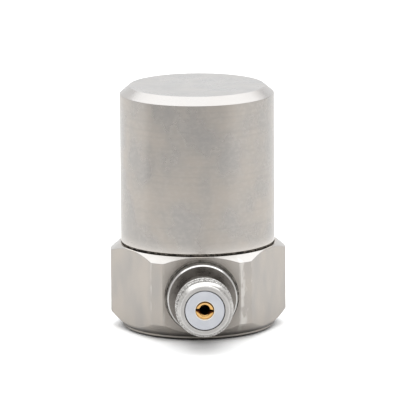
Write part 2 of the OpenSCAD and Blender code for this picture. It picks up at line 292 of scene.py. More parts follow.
# %% Soft lights
OVERHEAD_PLACE = (0.02, 0.28, 0.5)
OVERHEAD_SIDES = (0.99, 0.96)
OVERHEAD_WATTS = 4.2
BEHIND_PLACE = (0.1, 1.0, 0.3)
BEHIND_SIDES = (1.5, 0.5)
BEHIND_WATTS = 0.65
FILL_PLACE = (0, -0.6, 0.45)
FILL_SIDES = (0.5, 0.5)
FILL_WATTS = 2.1
COOL_LIGHT = (0.95, 0.98, 1.0)
WARM_LIGHT = (1.0, 0.98, 0.95)


def soft_box(name, place, facing, sides, watts):
    """An oblong area light that faces a direction and stays out of the camera's sight."""
    light = bpy.data.lights.new(name, "AREA")
    light.shape = "RECTANGLE"
    light.size, light.size_y = sides
    light.energy = watts
    light.color = COOL_LIGHT
    box = bpy.data.objects.new(name, light)
    box.location = place
    box.rotation_euler = Vector(facing).to_track_quat("-Z", "Y").to_euler()
    box.visible_camera = False
    bpy.context.scene.collection.objects.link(box)
    return box


overhead = soft_box("overhead", OVERHEAD_PLACE, (0, 0, -1), OVERHEAD_SIDES, OVERHEAD_WATTS)
behind = soft_box("behind", BEHIND_PLACE, (0, -1, 0), BEHIND_SIDES, BEHIND_WATTS)
front_fill = soft_box("front_fill", FILL_PLACE, -Vector(FILL_PLACE), FILL_SIDES, FILL_WATTS)
front_fill.visible_glossy = False
front_fill.data.color = WARM_LIGHT
print("lights:", overhead.name, behind.name, front_fill.name)

# %% [markdown]
# ## Rounded sections
# Every turned piece starts as a section: a row of corners, each with its distance from the axis
# and its height. Real edges are never quite sharp, and the small round on an edge is what catches
# the light, so each corner may carry a radius. A Bevel modifier could round the finished mesh,
# but rounding the section first gives clean rings, and a guard ring beside each round keeps the
# flat faces shaded flat.

# %% Rounded section
GUARD = 0.02 * MM
GUARD_SHARE = 0.05
TRIM_SHARE = 0.4


def rounded_section(corners, steps=5):
    """Rounds the (distance, height, edge radius) corners of a section, and returns its points."""
    points = []
    for place, (distance, height, edge) in enumerate(corners):
        corner = Vector((distance, height))
        if edge == 0:
            points.append(corner)
            continue
        before = Vector(corners[place - 1][:2]) - corner
        after = Vector(corners[(place + 1) % len(corners)][:2]) - corner
        bend = math.pi - before.angle(after)
        longest = TRIM_SHARE * min(before.length, after.length)
        trim = min(edge * math.tan(bend / 2), longest)
        into = before.normalized()
        away = after.normalized()
        centre = corner + (into + away).normalized() * math.hypot(trim, trim / math.tan(bend / 2))
        first = corner + into * trim - centre
        last = corner + away * trim - centre
        sweep = math.atan2(last.y, last.x) - math.atan2(first.y, first.x)
        sweep = (sweep + math.pi) % (2 * math.pi) - math.pi
        points.append(corner + into * (trim + min(GUARD, GUARD_SHARE * before.length)))
        for step in range(steps + 1):
            points.append(centre + Matrix.Rotation(sweep * step / steps, 2) @ first)
        points.append(corner + away * (trim + min(GUARD, GUARD_SHARE * after.length)))
    return points


sample = rounded_section([(0, 0, 0), (2 * MM, 0, 0.1 * MM), (2 * MM, 1 * MM, 0)])
print("points on a sample section:", len(sample))

# %% [markdown]
# ## From sections to skins
# A lathe spins one section round the axis. Blender's Screw modifier does that too, but the
# hexagon base needs a section that changes as it turns, so one function takes a section for each
# angle and joins neighbours with quads. It closes the skin on the axis, and writes a UV map whose
# first direction runs the way the cutting tool ran.

# %% Skin around an axis
ON_AXIS = 1e-9
SHARP_ANGLE = math.radians(35)


def even_angles(count):
    """Equal steps once around the axis."""
    return [2 * math.pi * step / count for step in range(count)]


def skin(name, section_at, angles):
    """Joins the sections at the given angles into one closed mesh object around the Z axis."""
    columns = [section_at(angle) for angle in angles]
    rows = len(columns[0])
    ring = columns[0][0].x > ON_AXIS
    numbers = {}
    vertices = []
    for column, angle in enumerate(angles):
        for row, point in enumerate(columns[column]):
            key = (0, row) if point.x < ON_AXIS else (column, row)
            if key not in numbers:
                numbers[key] = len(vertices)
                vertices.append((point.x * math.cos(angle), point.x * math.sin(angle), point.y))
            numbers[(column, row)] = numbers[key]
    faces = []
    turning = []
    for column in range(len(angles)):
        beside = (column + 1) % len(angles)
        for row in range(rows if ring else rows - 1):
            above = (row + 1) % rows
            corners = {}
            for key, spot in (
                ((column, row), (column, row)),
                ((beside, row), (column + 1, row)),
                ((beside, above), (column + 1, row + 1)),
                ((column, above), (column, row + 1)),
            ):
                corners.setdefault(numbers[key], spot)
            faces.append(list(corners))
            turning.extend((u / len(angles), v / rows) for u, v in corners.values())
    mesh = bpy.data.meshes.new(name)
    mesh.from_pydata(vertices, [], faces)
    layer = mesh.uv_layers.new(name="turning")
    layer.data.foreach_set("uv", [number for pair in turning for number in pair])
    piece = bpy.data.objects.new(name, mesh)
    bpy.context.scene.collection.objects.link(piece)
    face_outwards(piece)
    return piece


def face_outwards(piece, sharp=SHARP_ANGLE):
    """Points all faces outwards and shades them smooth, apart from edges over the sharp angle."""
    shell = bmesh.new()
    shell.from_mesh(piece.data)
    bmesh.ops.recalc_face_normals(shell, faces=shell.faces)
    shell.to_mesh(piece.data)
    shell.free()
    piece.data.shade_smooth()
    piece.data.set_sharp_from_angle(angle=sharp)


print("skins are made around the Z axis")

# %% [markdown]
# ## Shared finishes
# All the steel was turned or ground, so it shares two effects, turning marks and handling haze.
# Each is a node group, so that every material can place it with its own values. Turning marks are
# fine rings around the axis: a two-dimensional noise that reads only the distance from the axis
# and the height is the same all the way round, and so draws rings on sides and faces alike.

# %% Turning marks
def build_turning_marks():
    """A group that draws fine rings around the Z axis of its point."""
    tree, given, result = new_tree(
        "turning_marks",
        "ShaderNodeTree",
        {"Point": "Vector", "Lines per mm": "Float"},
        {"Marks": "Float"},
    )
    x, y, z = parts(tree, given.outputs["Point"])
    per_metre = calc(tree, "MULTIPLY", given.outputs["Lines per mm"], 1 / MM)
    across = calc(tree, "MULTIPLY", distance_from_axis(tree, x, y), per_metre)
    along = calc(tree, "MULTIPLY", z, per_metre)
    noise = add(
        tree,
        "ShaderNodeTexNoise",
        {"Vector": joined(tree, across, along), "Scale": 1.0, "Detail": 2.0, "Roughness": 0.6},
        noise_dimensions="2D",
    )
    tree.links.new(noise.outputs["Fac"], result.inputs["Marks"])
    return tree


turning_marks = build_turning_marks()
print("group:", turning_marks.name)

# %% [markdown]
# ## Handling haze
# Haze is a slow, patchy change of tone from oil, fingers and cleaning. It is a noise with large
# soft patches, which may be drawn out along the axis, and a smooth range that keeps it between
# none and full. It could be painted on, but a noise has no seams and needs no image.

# %% Handling haze
def build_handling_haze():
    """A group of slow patches, drawn out along the Z axis of its point."""
    tree, given, result = new_tree(
        "handling_haze",
        "ShaderNodeTree",
        {"Point": "Vector", "Patch in mm": "Float", "Drawn out": "Float", "Contrast": "Float"},
        {"Haze": "Float"},
    )
    per_metre = calc(tree, "DIVIDE", 1 / MM, given.outputs["Patch in mm"])
    scaled = add(tree, "ShaderNodeVectorMath", {0: given.outputs["Point"]}, operation="SCALE")
    feed(tree, scaled.inputs["Scale"], per_metre)
    x, y, z = parts(tree, scaled.outputs[0])
    place = joined(tree, x, y, calc(tree, "DIVIDE", z, given.outputs["Drawn out"]))
    noise = add(
        tree,
        "ShaderNodeTexNoise",
        {"Vector": place, "Scale": 1.0, "Detail": 2.0, "Roughness": 0.45},
    )
    centred = calc(tree, "SUBTRACT", noise.outputs["Fac"], 0.5)
    spread = calc(tree, "MULTIPLY_ADD", centred, given.outputs["Contrast"], 0.5)
    tree.links.new(span(tree, spread, 0.0, 1.0, fade="SMOOTHSTEP"), result.inputs["Haze"])
    return tree


handling_haze = build_handling_haze()
print("group:", handling_haze.name)

# %% [markdown]
# ## Steel
# One function makes each steel from the two shared groups. The haze moves the colour between a
# cool and a warm grey, and haze and marks together set how dull the surface is. The marks feed a
# faint bump where the tool's path can be felt. Later tones, such as stains, scuffs, painted shade
# and painted highlights, are laid over the colour by a helper of their own. Numbers that are the
# same all over, such as the anisotropy that stretches highlights across the tool's path, are set on
# the shader itself.

# %% Steel maker
UPRIGHT = Matrix.Identity(4)
MARK_DEPTH = 0.0015 * MM
SMOOTH_UP_TO = 0.2
ROUGH_FROM = 0.8
ACROSS_THE_PATH = 0.25


def point_on_axis(tree, to_axis):
    """The shaded point, moved so that the turning axis of the piece lies on the Z axis."""
    place = add(tree, "ShaderNodeTexCoord")
    moved = add(tree, "ShaderNodeMapping", {"Vector": place.outputs["Object"]})
    feed(tree, moved.inputs["Location"], to_axis.translation)
    feed(tree, moved.inputs["Rotation"], to_axis.to_euler())
    return moved.outputs[0]


def marks_of(tree, point, lines):
    """Adds the turning marks at a point and returns their strength."""
    marks = add(tree, "ShaderNodeGroup", node_tree=turning_marks)
    feed(tree, marks.inputs["Point"], point)
    feed(tree, marks.inputs["Lines per mm"], lines)
    return marks.outputs["Marks"]


def haze_of(tree, point, patch, drawn_out, contrast):
    """Adds the handling haze at a point and returns its strength."""
    haze = add(tree, "ShaderNodeGroup", node_tree=handling_haze)
    feed(tree, haze.inputs["Point"], point)
    feed(tree, haze.inputs["Patch in mm"], patch)
    feed(tree, haze.inputs["Drawn out"], drawn_out)
    feed(tree, haze.inputs["Contrast"], contrast)
    return haze.outputs["Haze"]


def overlay(material, factor, tone, blend="MIX"):
    """Lays one more tone over a material's colour, as far as the factor says."""
    tree = material.node_tree
    colour = tree.nodes["Principled BSDF"].inputs["Base Color"]
    mix = add(tree, "ShaderNodeMix", data_type="RGBA", blend_type=blend)
    feed(tree, mix.inputs["Factor"], factor)
    feed(tree, mix.inputs["A"], colour.links[0].from_socket)
    feed(tree, mix.inputs["B"], tone)
    feed(tree, colour, mix.outputs["Result"])


def steel(
    name, cool, warm, smooth, rough, lines, patch,
    contrast=1.6, bump=0.6, stretch=0.0, share=0.6, drawn_out=2.2, to_axis=UPRIGHT,
):
    """A turned or ground steel. The marks have a share in its roughness, and the haze the rest."""
    material = bpy.data.materials.new(name)
    material.use_nodes = True
    tree = material.node_tree
    shader = tree.nodes["Principled BSDF"]
    point = point_on_axis(tree, to_axis)
    marks = marks_of(tree, point, lines)
    haze = haze_of(tree, point, patch, drawn_out, contrast)
    tint = add(tree, "ShaderNodeMix", data_type="RGBA")
    feed(tree, tint.inputs["Factor"], haze)
    feed(tree, tint.inputs["A"], (*cool, 1))
    feed(tree, tint.inputs["B"], (*warm, 1))
    feed(tree, shader.inputs["Base Color"], tint.outputs["Result"])
    of_haze = calc(tree, "MULTIPLY", haze, 1 - share)
    blend = calc(tree, "MULTIPLY_ADD", marks, share, of_haze)
    dull = span(tree, blend, SMOOTH_UP_TO, ROUGH_FROM, smooth, rough)
    feed(tree, shader.inputs["Roughness"], dull)
    if bump:
        ridges = add(tree, "ShaderNodeBump", {"Height": marks, "Strength": bump})
        feed(tree, ridges.inputs["Distance"], MARK_DEPTH)
        feed(tree, shader.inputs["Normal"], ridges.outputs[0])
    shader.inputs["Metallic"].default_value = 1.0
    if stretch:
        shader.inputs["Anisotropic"].default_value = stretch
        shader.inputs["Anisotropic Rotation"].default_value = ACROSS_THE_PATH
        path = add(tree, "ShaderNodeTangent", direction_type="UV_MAP", uv_map="turning")
        feed(tree, shader.inputs["Tangent"], path.outputs[0])
    return material


print("steel is made from:", turning_marks.name, handling_haze.name)

# %% [markdown]
# ## The steels of this sensor
# The cap and the base are ground and wiped, so haze rules their look. The outlet is a small
# turned piece with plainer tool marks, a smoother front ring, and a darker flange face: partly heat
# tint from its weld, partly painted shade for the dark undercut that the face mirrors. The outlet's
# marks run round its own axis, so its steels get the matrix that brings that axis on the Z axis.

# %% Steels
HALF_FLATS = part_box("base")[1].y
OUTLET_Z = sum(corner.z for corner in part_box("connector_shell")) / 2
LAID_FORWARD = Matrix.Rotation(math.radians(90), 4, "X")
ON_OUTLET = Matrix.Translation((0, -HALF_FLATS, OUTLET_Z)) @ LAID_FORWARD
TO_OUTLET = ON_OUTLET.inverted()

cap_steel = steel(
    "cap_steel", (0.41, 0.39, 0.37), (0.49, 0.445, 0.40), 0.26, 0.32,
    lines=9, patch=2.4, contrast=2.6, bump=0.0, stretch=0.15, share=0.15, drawn_out=1.4,
)
base_steel = steel(
    "base_steel", (0.405, 0.38, 0.355), (0.48, 0.437, 0.393), 0.15, 0.26,
    lines=7, patch=1.6, contrast=2.6, bump=0.0, share=0.15,
)
outlet_steel = steel(
    "outlet_steel", (0.49, 0.475, 0.46), (0.65, 0.63, 0.605), 0.24, 0.38,
    lines=11, patch=0.25, contrast=1.9, stretch=0.3, to_axis=TO_OUTLET,
)
# The flange face's dark steel is partly heat tint and partly painted shade.
heat_tint_and_shade_steel = steel(
    "heat_tint_and_shade_steel", (0.165, 0.15, 0.138), (0.26, 0.24, 0.22), 0.22, 0.36,
    lines=11, patch=0.9, contrast=1.2, stretch=0.3, to_axis=TO_OUTLET,
)
ring_steel = steel(
    "ring_steel", (0.42, 0.405, 0.39), (0.485, 0.47, 0.455), 0.16, 0.26,
    lines=11, patch=0.6, bump=0.0, stretch=0.3, to_axis=TO_OUTLET,
)
print("steels:", [m.name for m in (cap_steel, base_steel, outlet_steel, heat_tint_and_shade_steel, ring_steel)])

# %% [markdown]
# ## The cap
# The cap is a thin-walled cup turned from bar: a straight side, a bright chamfer round the top,
# and a plain flat top. It could be a cylinder with a bevel, but a full section with its inside
# makes a true cup, so it is right when it is lifted off too. Each edge has the small break that a
# turner leaves.

# %% Cap
CAP_WALL = 0.75 * MM
CAP_ROOF = 0.9 * MM
CAP_BEVEL_WIDTH = 0.82 * MM
CAP_BEVEL_HEIGHT = 0.7 * MM
CAP_EDGE = 0.06 * MM
CAP_SIDES = 256
FINE_EDGE = 0.05 * MM
cap_low, cap_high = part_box("cap")
CAP_R = cap_high.x
CAP_INSIDE_R = CAP_R - CAP_WALL
ROOF_Z = cap_high.z - CAP_ROOF

cap_points = rounded_section([
    (0, cap_high.z, 0),
    (CAP_R - CAP_BEVEL_WIDTH, cap_high.z, FINE_EDGE),
    (CAP_R, cap_high.z - CAP_BEVEL_HEIGHT, FINE_EDGE),
    (CAP_R, cap_low.z + CAP_EDGE, FINE_EDGE),
    (CAP_R - CAP_EDGE, cap_low.z, FINE_EDGE),
    (CAP_INSIDE_R, cap_low.z, FINE_EDGE),
    (CAP_INSIDE_R, ROOF_Z, FINE_EDGE),
    (0, ROOF_Z, 0),
])
cap_piece = skin("turned_cap", lambda angle: cap_points, even_angles(CAP_SIDES))
cap_piece.data.materials.append(cap_steel)
print("cap faces:", len(cap_piece.data.polygons))

# %% [markdown]
# ## Ground side of the cap
# The cap's side was ground while it turned, so faint rings run round it and the steel between
# them is finely mottled. The two shared groups draw both: marks set wide apart in a darker grey,
# and a haze of small flat patches in a paler one. Both are weak, because the eye should read
# ground steel and not a pattern.

# %% Ground side
RINGS_PER_MM = 2.2
RING_GREY = (0.36, 0.345, 0.33, 1)
RING_FROM = 0.45
RING_FULL = 0.75
RING_MOST = 0.3
MOTTLE_IN_MM = 0.4
MOTTLE_FLAT = 0.7
MOTTLE_CONTRAST = 3.0
MOTTLE_FROM = 0.5
MOTTLE_PALE = (0.52, 0.485, 0.45, 1)
MOTTLE_MOST = 0.3
cap_tree = cap_steel.node_tree
cap_point = point_on_axis(cap_tree, UPRIGHT)
rings = marks_of(cap_tree, cap_point, RINGS_PER_MM)
overlay(cap_steel, span(cap_tree, rings, RING_FROM, RING_FULL, 0.0, RING_MOST), RING_GREY)
mottle = haze_of(cap_tree, cap_point, MOTTLE_IN_MM, MOTTLE_FLAT, MOTTLE_CONTRAST)
overlay(cap_steel, span(cap_tree, mottle, MOTTLE_FROM, 1.0, 0.0, MOTTLE_MOST), MOTTLE_PALE)
print("rings per mm on the cap:", RINGS_PER_MM)

# %% [markdown]
# ## Pale rim, neutral chamfer and stained top
# The cap's lower rim is paler and fades to its usual tone within about a millimetre: a painted
# reflection of the bright bevel below it. The chamfer and the flat top get a clean, neutral grey, a
# painted highlight for the bright light that they mirror, and the top has been touched and has
# soft stains. All three tones are laid over the cap's steel by height: a power of the height makes
# the quick fade, and a step starts each of the other two.

# %% Rim and top tones
RIM_FADE = 1.5 * MM
RIM_POWER = 3
RIM_PAINTED_REFLECTION = (0.64, 0.60, 0.56, 1)
CHAMFER_PAINTED_HIGHLIGHT = (0.446, 0.429, 0.418, 1)
BRIGHT_SHARE = 0.8
STAIN_GREY = (0.33, 0.335, 0.34, 1)
STAIN_IN_MM = 1.8
STAIN_DRAWN_OUT = 1.0
STAIN_CONTRAST = 2.2
STAIN_MOST = 0.4
TOP_SKIN = 0.01 * MM
cap_height = parts(cap_tree, cap_point)["Z"]
near_rim = span(cap_tree, cap_height, cap_low.z + RIM_FADE, cap_low.z + CAP_EDGE)
# The paler rim is a painted reflection of the bright bevel below.
overlay(cap_steel, calc(cap_tree, "POWER", near_rim, RIM_POWER), RIM_PAINTED_REFLECTION)
on_chamfer = calc(cap_tree, "GREATER_THAN", cap_height, cap_high.z - CAP_BEVEL_HEIGHT)
# The neutral grey on the chamfer and the top is a painted highlight.
overlay(cap_steel, calc(cap_tree, "MULTIPLY", on_chamfer, BRIGHT_SHARE), CHAMFER_PAINTED_HIGHLIGHT)
on_top = calc(cap_tree, "GREATER_THAN", cap_height, cap_high.z - TOP_SKIN)
stains = haze_of(cap_tree, cap_point, STAIN_IN_MM, STAIN_DRAWN_OUT, STAIN_CONTRAST)
stained = calc(cap_tree, "MULTIPLY", calc(cap_tree, "MULTIPLY", stains, on_top), STAIN_MOST)
overlay(cap_steel, stained, STAIN_GREY)
print("rim fades over mm:", round(RIM_FADE / MM, 1))

# %% [markdown]
# ## The hexagon base
# A hexagon bar was chucked in a lathe and its corners were turned round, with a bevel above and
# below, so each flat ends in a curved line. The CAD does that with an intersection. Here each
# angle gets its own section: the flat or the turned corner, whichever lies nearer to the axis,
# sets how far it reaches, and both bevels follow. A soft minimum rounds the upright edges between
# flats and corners.

# %% Hexagon outline
CORNER_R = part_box("base")[1].x
SOFT_EDGE = 0.012 * MM
PAST_THE_EDGE = 40
OFF_EDGE_DEGREES = (0.1, 0.25, 0.4, 0.6, 0.9, 1.3)
FLAT_DEGREES = range(-24, 25, 2)
CORNER_DEGREES = (27.4, 28.2, 29.1, 30.0, 30.9, 31.8, 32.6)
CLEAR_OF_EDGE = math.radians(1.5)
FLAT_HALF_ANGLE = math.acos(HALF_FLATS / CORNER_R)


def angle_from_flat(angle):
    """Angle to the middle of the nearest flat."""
    turned = (angle - math.pi / 6) % (math.pi / 3)
    return min(turned, math.pi / 3 - turned)


def hexagon_reach(angle):
    """Distance from the axis to the flat or the turned corner, with a soft edge between them."""
    flat = HALF_FLATS / math.cos(angle_from_flat(angle))
    step = (flat - CORNER_R) / SOFT_EDGE
    if step > PAST_THE_EDGE:
        return CORNER_R
    return flat - SOFT_EDGE * math.log1p(math.exp(step))


def hexagon_angles():
    """Angles that lie close together at the upright edges and wide apart elsewhere."""
    near_edge = [-d for d in reversed(OFF_EDGE_DEGREES)] + [0.0] + list(OFF_EDGE_DEGREES)
    one_side = [FLAT_HALF_ANGLE + math.radians(d) for d in near_edge]
    flat_steps = [math.radians(d) for d in FLAT_DEGREES]
    flat_steps = [a for a in flat_steps if abs(a) < FLAT_HALF_ANGLE - CLEAR_OF_EDGE]
    corner_steps = [math.radians(d) for d in CORNER_DEGREES]
    local = sorted(flat_steps + one_side + [-a for a in one_side] + corner_steps)
    return sorted(math.pi / 6 + side * math.pi / 3 + a for side in range(6) for a in local)


base_angles = hexagon_angles()
print("sections around the base:", len(base_angles))

# %% [markdown]
# ## The base's section
# From the tapped hole in the mounting face, the section runs out over the foot, up the two bevels
# and the flat, over the ledge and its weld groove, and up the spigot that centres the cap, to the
# deck that carries the stack. The tapped hole's wall has close rows for its thread.

# %% Base section
FOOT_R = 6.75 * MM
FOOT_HEIGHT = 0.3 * MM
FOOT_EDGE = 0.15 * MM
LOWER_BEVEL = math.tan(math.radians(47))
UPPER_BEVEL = math.tan(math.radians(36.5))
HEXAGON_TOP = 7.45 * MM
LEDGE_R = CAP_R + 0.17 * MM
GROOVE_R = CAP_R - 0.3 * MM
TINT_R = CAP_R + 0.02 * MM
FLAT_BREAK = 0.1 * MM
SPIGOT_R = CAP_INSIDE_R - 0.02 * MM
SPIGOT_EDGE = 0.15 * MM
DECK_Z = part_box("base")[1].z
STUD_HOLE_R = 1.52 * MM
STUD_HOLE_Z = DECK_Z - 2.32 * MM
TAP_CORE_R = 2.1 * MM
TAP_DEPTH = 4.4 * MM
TAP_MOUTH = 0.4 * MM
DRILL_TIP = TAP_CORE_R / math.tan(math.radians(59))
TAP_ROWS = 100


def base_section(angle):
    """The base's section at one angle, from the drilled tip up the outside to the stud hole."""
    reach = hexagon_reach(angle)
    ledge = min(LEDGE_R, reach - FLAT_BREAK)
    rise = (TAP_MOUTH - TAP_DEPTH) / TAP_ROWS
    tapped_wall = [(TAP_CORE_R, TAP_DEPTH + rise * row, 0) for row in range(TAP_ROWS + 1)]
    return rounded_section([
        (0, TAP_DEPTH + DRILL_TIP, 0),
        *tapped_wall,
        (TAP_CORE_R + TAP_MOUTH, 0, FINE_EDGE),
        (FOOT_R - FOOT_EDGE, 0, FINE_EDGE),
        (FOOT_R, FOOT_EDGE, FINE_EDGE),
        (FOOT_R, FOOT_HEIGHT, FINE_EDGE),
        (reach, FOOT_HEIGHT + (reach - FOOT_R) * LOWER_BEVEL, FINE_EDGE),
        (reach, HEXAGON_TOP - (reach - ledge) * UPPER_BEVEL, FINE_EDGE),
        (ledge, HEXAGON_TOP, FINE_EDGE),
        (TINT_R, HEXAGON_TOP, 0),
        (GROOVE_R, HEXAGON_TOP, FINE_EDGE),
        (GROOVE_R, cap_low.z, FINE_EDGE),
        (SPIGOT_R, cap_low.z, FINE_EDGE),
        (SPIGOT_R, DECK_Z - SPIGOT_EDGE, FINE_EDGE),
        (SPIGOT_R - SPIGOT_EDGE, DECK_Z, FINE_EDGE),
        (STUD_HOLE_R, DECK_Z, FINE_EDGE),
        (STUD_HOLE_R, STUD_HOLE_Z, FINE_EDGE),
        (0, STUD_HOLE_Z, 0),
    ])


base_piece = skin("hexagon_base", base_section, base_angles)
base_piece.data.materials.append(base_steel)
print("base faces before drilling:", len(base_piece.data.polygons))

# %% [markdown]
# ## Drilling the base
# The outlet sits in a stepped hole from the front flat, and a small channel brings a lead down to
# it. A Boolean modifier with the exact solver cuts both, as a drill would, from cutters that are
# removed afterwards.

# %% Outlet hole and lead channel
RECESS_R = 3.25 * MM
RECESS_DEPTH = 0.3 * MM
TAIL_HOLE_R = 2.22 * MM
SHELL_END = -1.35 * MM
CHAMBER_R = 1.4 * MM
CHAMBER_END = -2.75 * MM
LEAD_CIRCLE = 4.95 * MM
CHANNEL_R = 0.4 * MM
OVERCUT = 1.0 * MM


def cut_away(piece, cutter):
    """Cuts one object's volume out of another and removes the cutter."""
    cutting = piece.modifiers.new("cut", "BOOLEAN")
    cutting.object = cutter
    cutting.operation = "DIFFERENCE"
    cutting.solver = "EXACT"
    apply_modifiers(piece)
    bpy.data.objects.remove(cutter)


def apply_modifiers(piece):
    """Turns what the modifiers make into the piece's own plain mesh."""
    evaluated = piece.evaluated_get(bpy.context.evaluated_depsgraph_get())
    mesh = bpy.data.meshes.new_from_object(evaluated)
    piece.modifiers.clear()
    piece.data = mesh
    mesh.name = piece.name


def turned_cutter(name, corners, place, count=128):
    """A turned cutter, put in place."""
    points = [Vector(corner) for corner in corners]
    cutter = skin(name, lambda angle: points, even_angles(count))
    cutter.data.transform(place)
    return cutter


outlet_cutter = turned_cutter("outlet_cutter", [
    (0, CHAMBER_END),
    (CHAMBER_R, CHAMBER_END),
    (CHAMBER_R, SHELL_END),
    (TAIL_HOLE_R, SHELL_END),
    (TAIL_HOLE_R, -RECESS_DEPTH),
    (RECESS_R, -RECESS_DEPTH),
    (RECESS_R, OVERCUT),
    (0, OVERCUT),
], ON_OUTLET)
cut_away(base_piece, outlet_cutter)
channel_cutter = turned_cutter("channel_cutter", [
    (0, OUTLET_Z),
    (CHANNEL_R, OUTLET_Z),
    (CHANNEL_R, DECK_Z + OVERCUT),
    (0, DECK_Z + OVERCUT),
], Matrix.Translation((0, -LEAD_CIRCLE, 0)), count=48)
cut_away(base_piece, channel_cutter)
print("base faces after drilling:", len(base_piece.data.polygons))

# %% [markdown]
# ## Threads
# A screw thread follows a rule, so Geometry Nodes cut it: each point's turn about the axis and
# its height give its place across the thread, and that says how deep the tool went there. The
# same tree cuts the outlet's outside thread, towards the axis, and the tapped hole's inside
# thread, away from it. Modelling a swept ridge would work too, but a cut keeps the mesh closed
# and leaves the chamfers as they were.

# %% Thread cutter
CREST_AT = 0.9
ROOT_AT = 0.15


def build_thread_cutter():
    """Geometry Nodes that cut a helical groove round the Z axis in a turned mesh."""
    tree, given, result = new_tree(
        "cut_thread",
        "GeometryNodeTree",
        {
            "Geometry": "Geometry",
            "Surface radius": "Float",
            "Depth": "Float",
            "Pitch": "Float",
            "From": "Float",
            "To": "Float",
            "Run-out": "Float",
            "Start turn": "Float",
            "Inside": "Bool",
            "Material": "Material",
        },
        {"Geometry": "Geometry"},
    )
    value = given.outputs
    x, y, z = parts(tree, add(tree, "GeometryNodeInputPosition").outputs[0])
    radius = distance_from_axis(tree, x, y)
    turned = calc(tree, "DIVIDE", calc(tree, "ARCTAN2", y, x), 2 * math.pi)
    turns = calc(tree, "SUBTRACT", turned, value["Start turn"])
    phase = calc(tree, "FRACT", calc(tree, "SUBTRACT", calc(tree, "DIVIDE", z, value["Pitch"]), turns))
    from_root = calc(tree, "MULTIPLY", calc(tree, "ABSOLUTE", calc(tree, "SUBTRACT", phase, 0.5)), 2)
    groove = span(tree, from_root, CREST_AT, ROOT_AT, fade="SMOOTHSTEP")
    enter = calc(tree, "DIVIDE", calc(tree, "SUBTRACT", z, value["From"]), value["Run-out"])
    leave = calc(tree, "DIVIDE", calc(tree, "SUBTRACT", value["To"], z), value["Run-out"])
    ends = add(tree, "ShaderNodeClamp", {"Value": calc(tree, "MINIMUM", enter, leave)}).outputs[0]
    cut_depth = calc(tree, "MULTIPLY", calc(tree, "MULTIPLY", groove, ends), value["Depth"])
    outside = calc(tree, "MINIMUM", radius, calc(tree, "SUBTRACT", value["Surface radius"], cut_depth))
    inside = calc(tree, "MAXIMUM", radius, calc(tree, "ADD", value["Surface radius"], cut_depth))
    new_radius = add(
        tree,
        "GeometryNodeSwitch",
        {"Switch": value["Inside"], "False": outside, "True": inside},
        input_type="FLOAT",
    ).outputs[0]
    grow = calc(tree, "DIVIDE", new_radius, radius)
    moved = joined(tree, calc(tree, "MULTIPLY", x, grow), calc(tree, "MULTIPLY", y, grow), z)
    reach = calc(tree, "ADD", value["Surface radius"], value["Depth"])
    near = calc(tree, "LESS_THAN", radius, reach)
    in_reach = calc(tree, "MULTIPLY", near, calc(tree, "GREATER_THAN", ends, 0))
    cut = add(tree, "GeometryNodeSetPosition", {"Geometry": value["Geometry"], "Position": moved})
    feed(tree, cut.inputs["Selection"], in_reach)
    real = add(tree, "GeometryNodeRealizeInstances", {0: cut.outputs[0]})
    dressed = add(tree, "GeometryNodeSetMaterial", {"Geometry": real.outputs[0]})
    feed(tree, dressed.inputs["Material"], value["Material"])
    tree.links.new(dressed.outputs[0], result.inputs["Geometry"])
    return tree


def run_nodes(piece, tree, values):
    """Runs a Geometry Nodes tree on a piece, and keeps the result as a plain mesh."""
    modifier = piece.modifiers.new(tree.name, "NODES")
    modifier.node_group = tree
    for name, value in values.items():
        socket = next(s for s in tree.interface.items_tree if s.name == name and s.in_out == "INPUT")
        modifier[socket.identifier] = value
    apply_modifiers(piece)


thread_cutter = build_thread_cutter()
cutter_inputs = [s.name for s in thread_cutter.interface.items_tree if s.in_out == "INPUT"]
print("thread cutter inputs:", cutter_inputs)

# %% [markdown]
# ## The tapped hole
# The sensor is held by a stud in a tapped hole in the middle of its mounting face. The base's
# mesh already has close rows on that wall, and the cutter moves them outwards along the helix.

# %% Tapped hole
THREAD_PITCH = 0.8 * MM
THREAD_DEPTH = 0.4 * MM
TAP_RUN_OUT = 0.3 * MM
run_nodes(base_piece, thread_cutter, {
    "Surface radius": TAP_CORE_R,
    "Depth": THREAD_DEPTH,
    "Pitch": THREAD_PITCH,
    "From": 0.0,
    "To": TAP_DEPTH,
    "Run-out": TAP_RUN_OUT,
    "Start turn": 0.0,
    "Inside": True,
    "Material": base_steel,
})
face_outwards(base_piece)
print("tapped hole cut in the base,", len(base_piece.data.polygons), "faces")

# %% [markdown]
# ## Edge highlights and a scuff
# The upright edges of the hexagon get a paler tone than the faces beside them, a painted highlight
# for the thin line of light that a rounded edge catches, and a slipped spanner has scuffed one
# corner beside the outlet. Each vertex gets a value for both, which fades with the angle from the
# edge, and a fine haze makes the limit of the paler tone ragged. A texture could be painted
# instead, but the angle already says where the edges are.

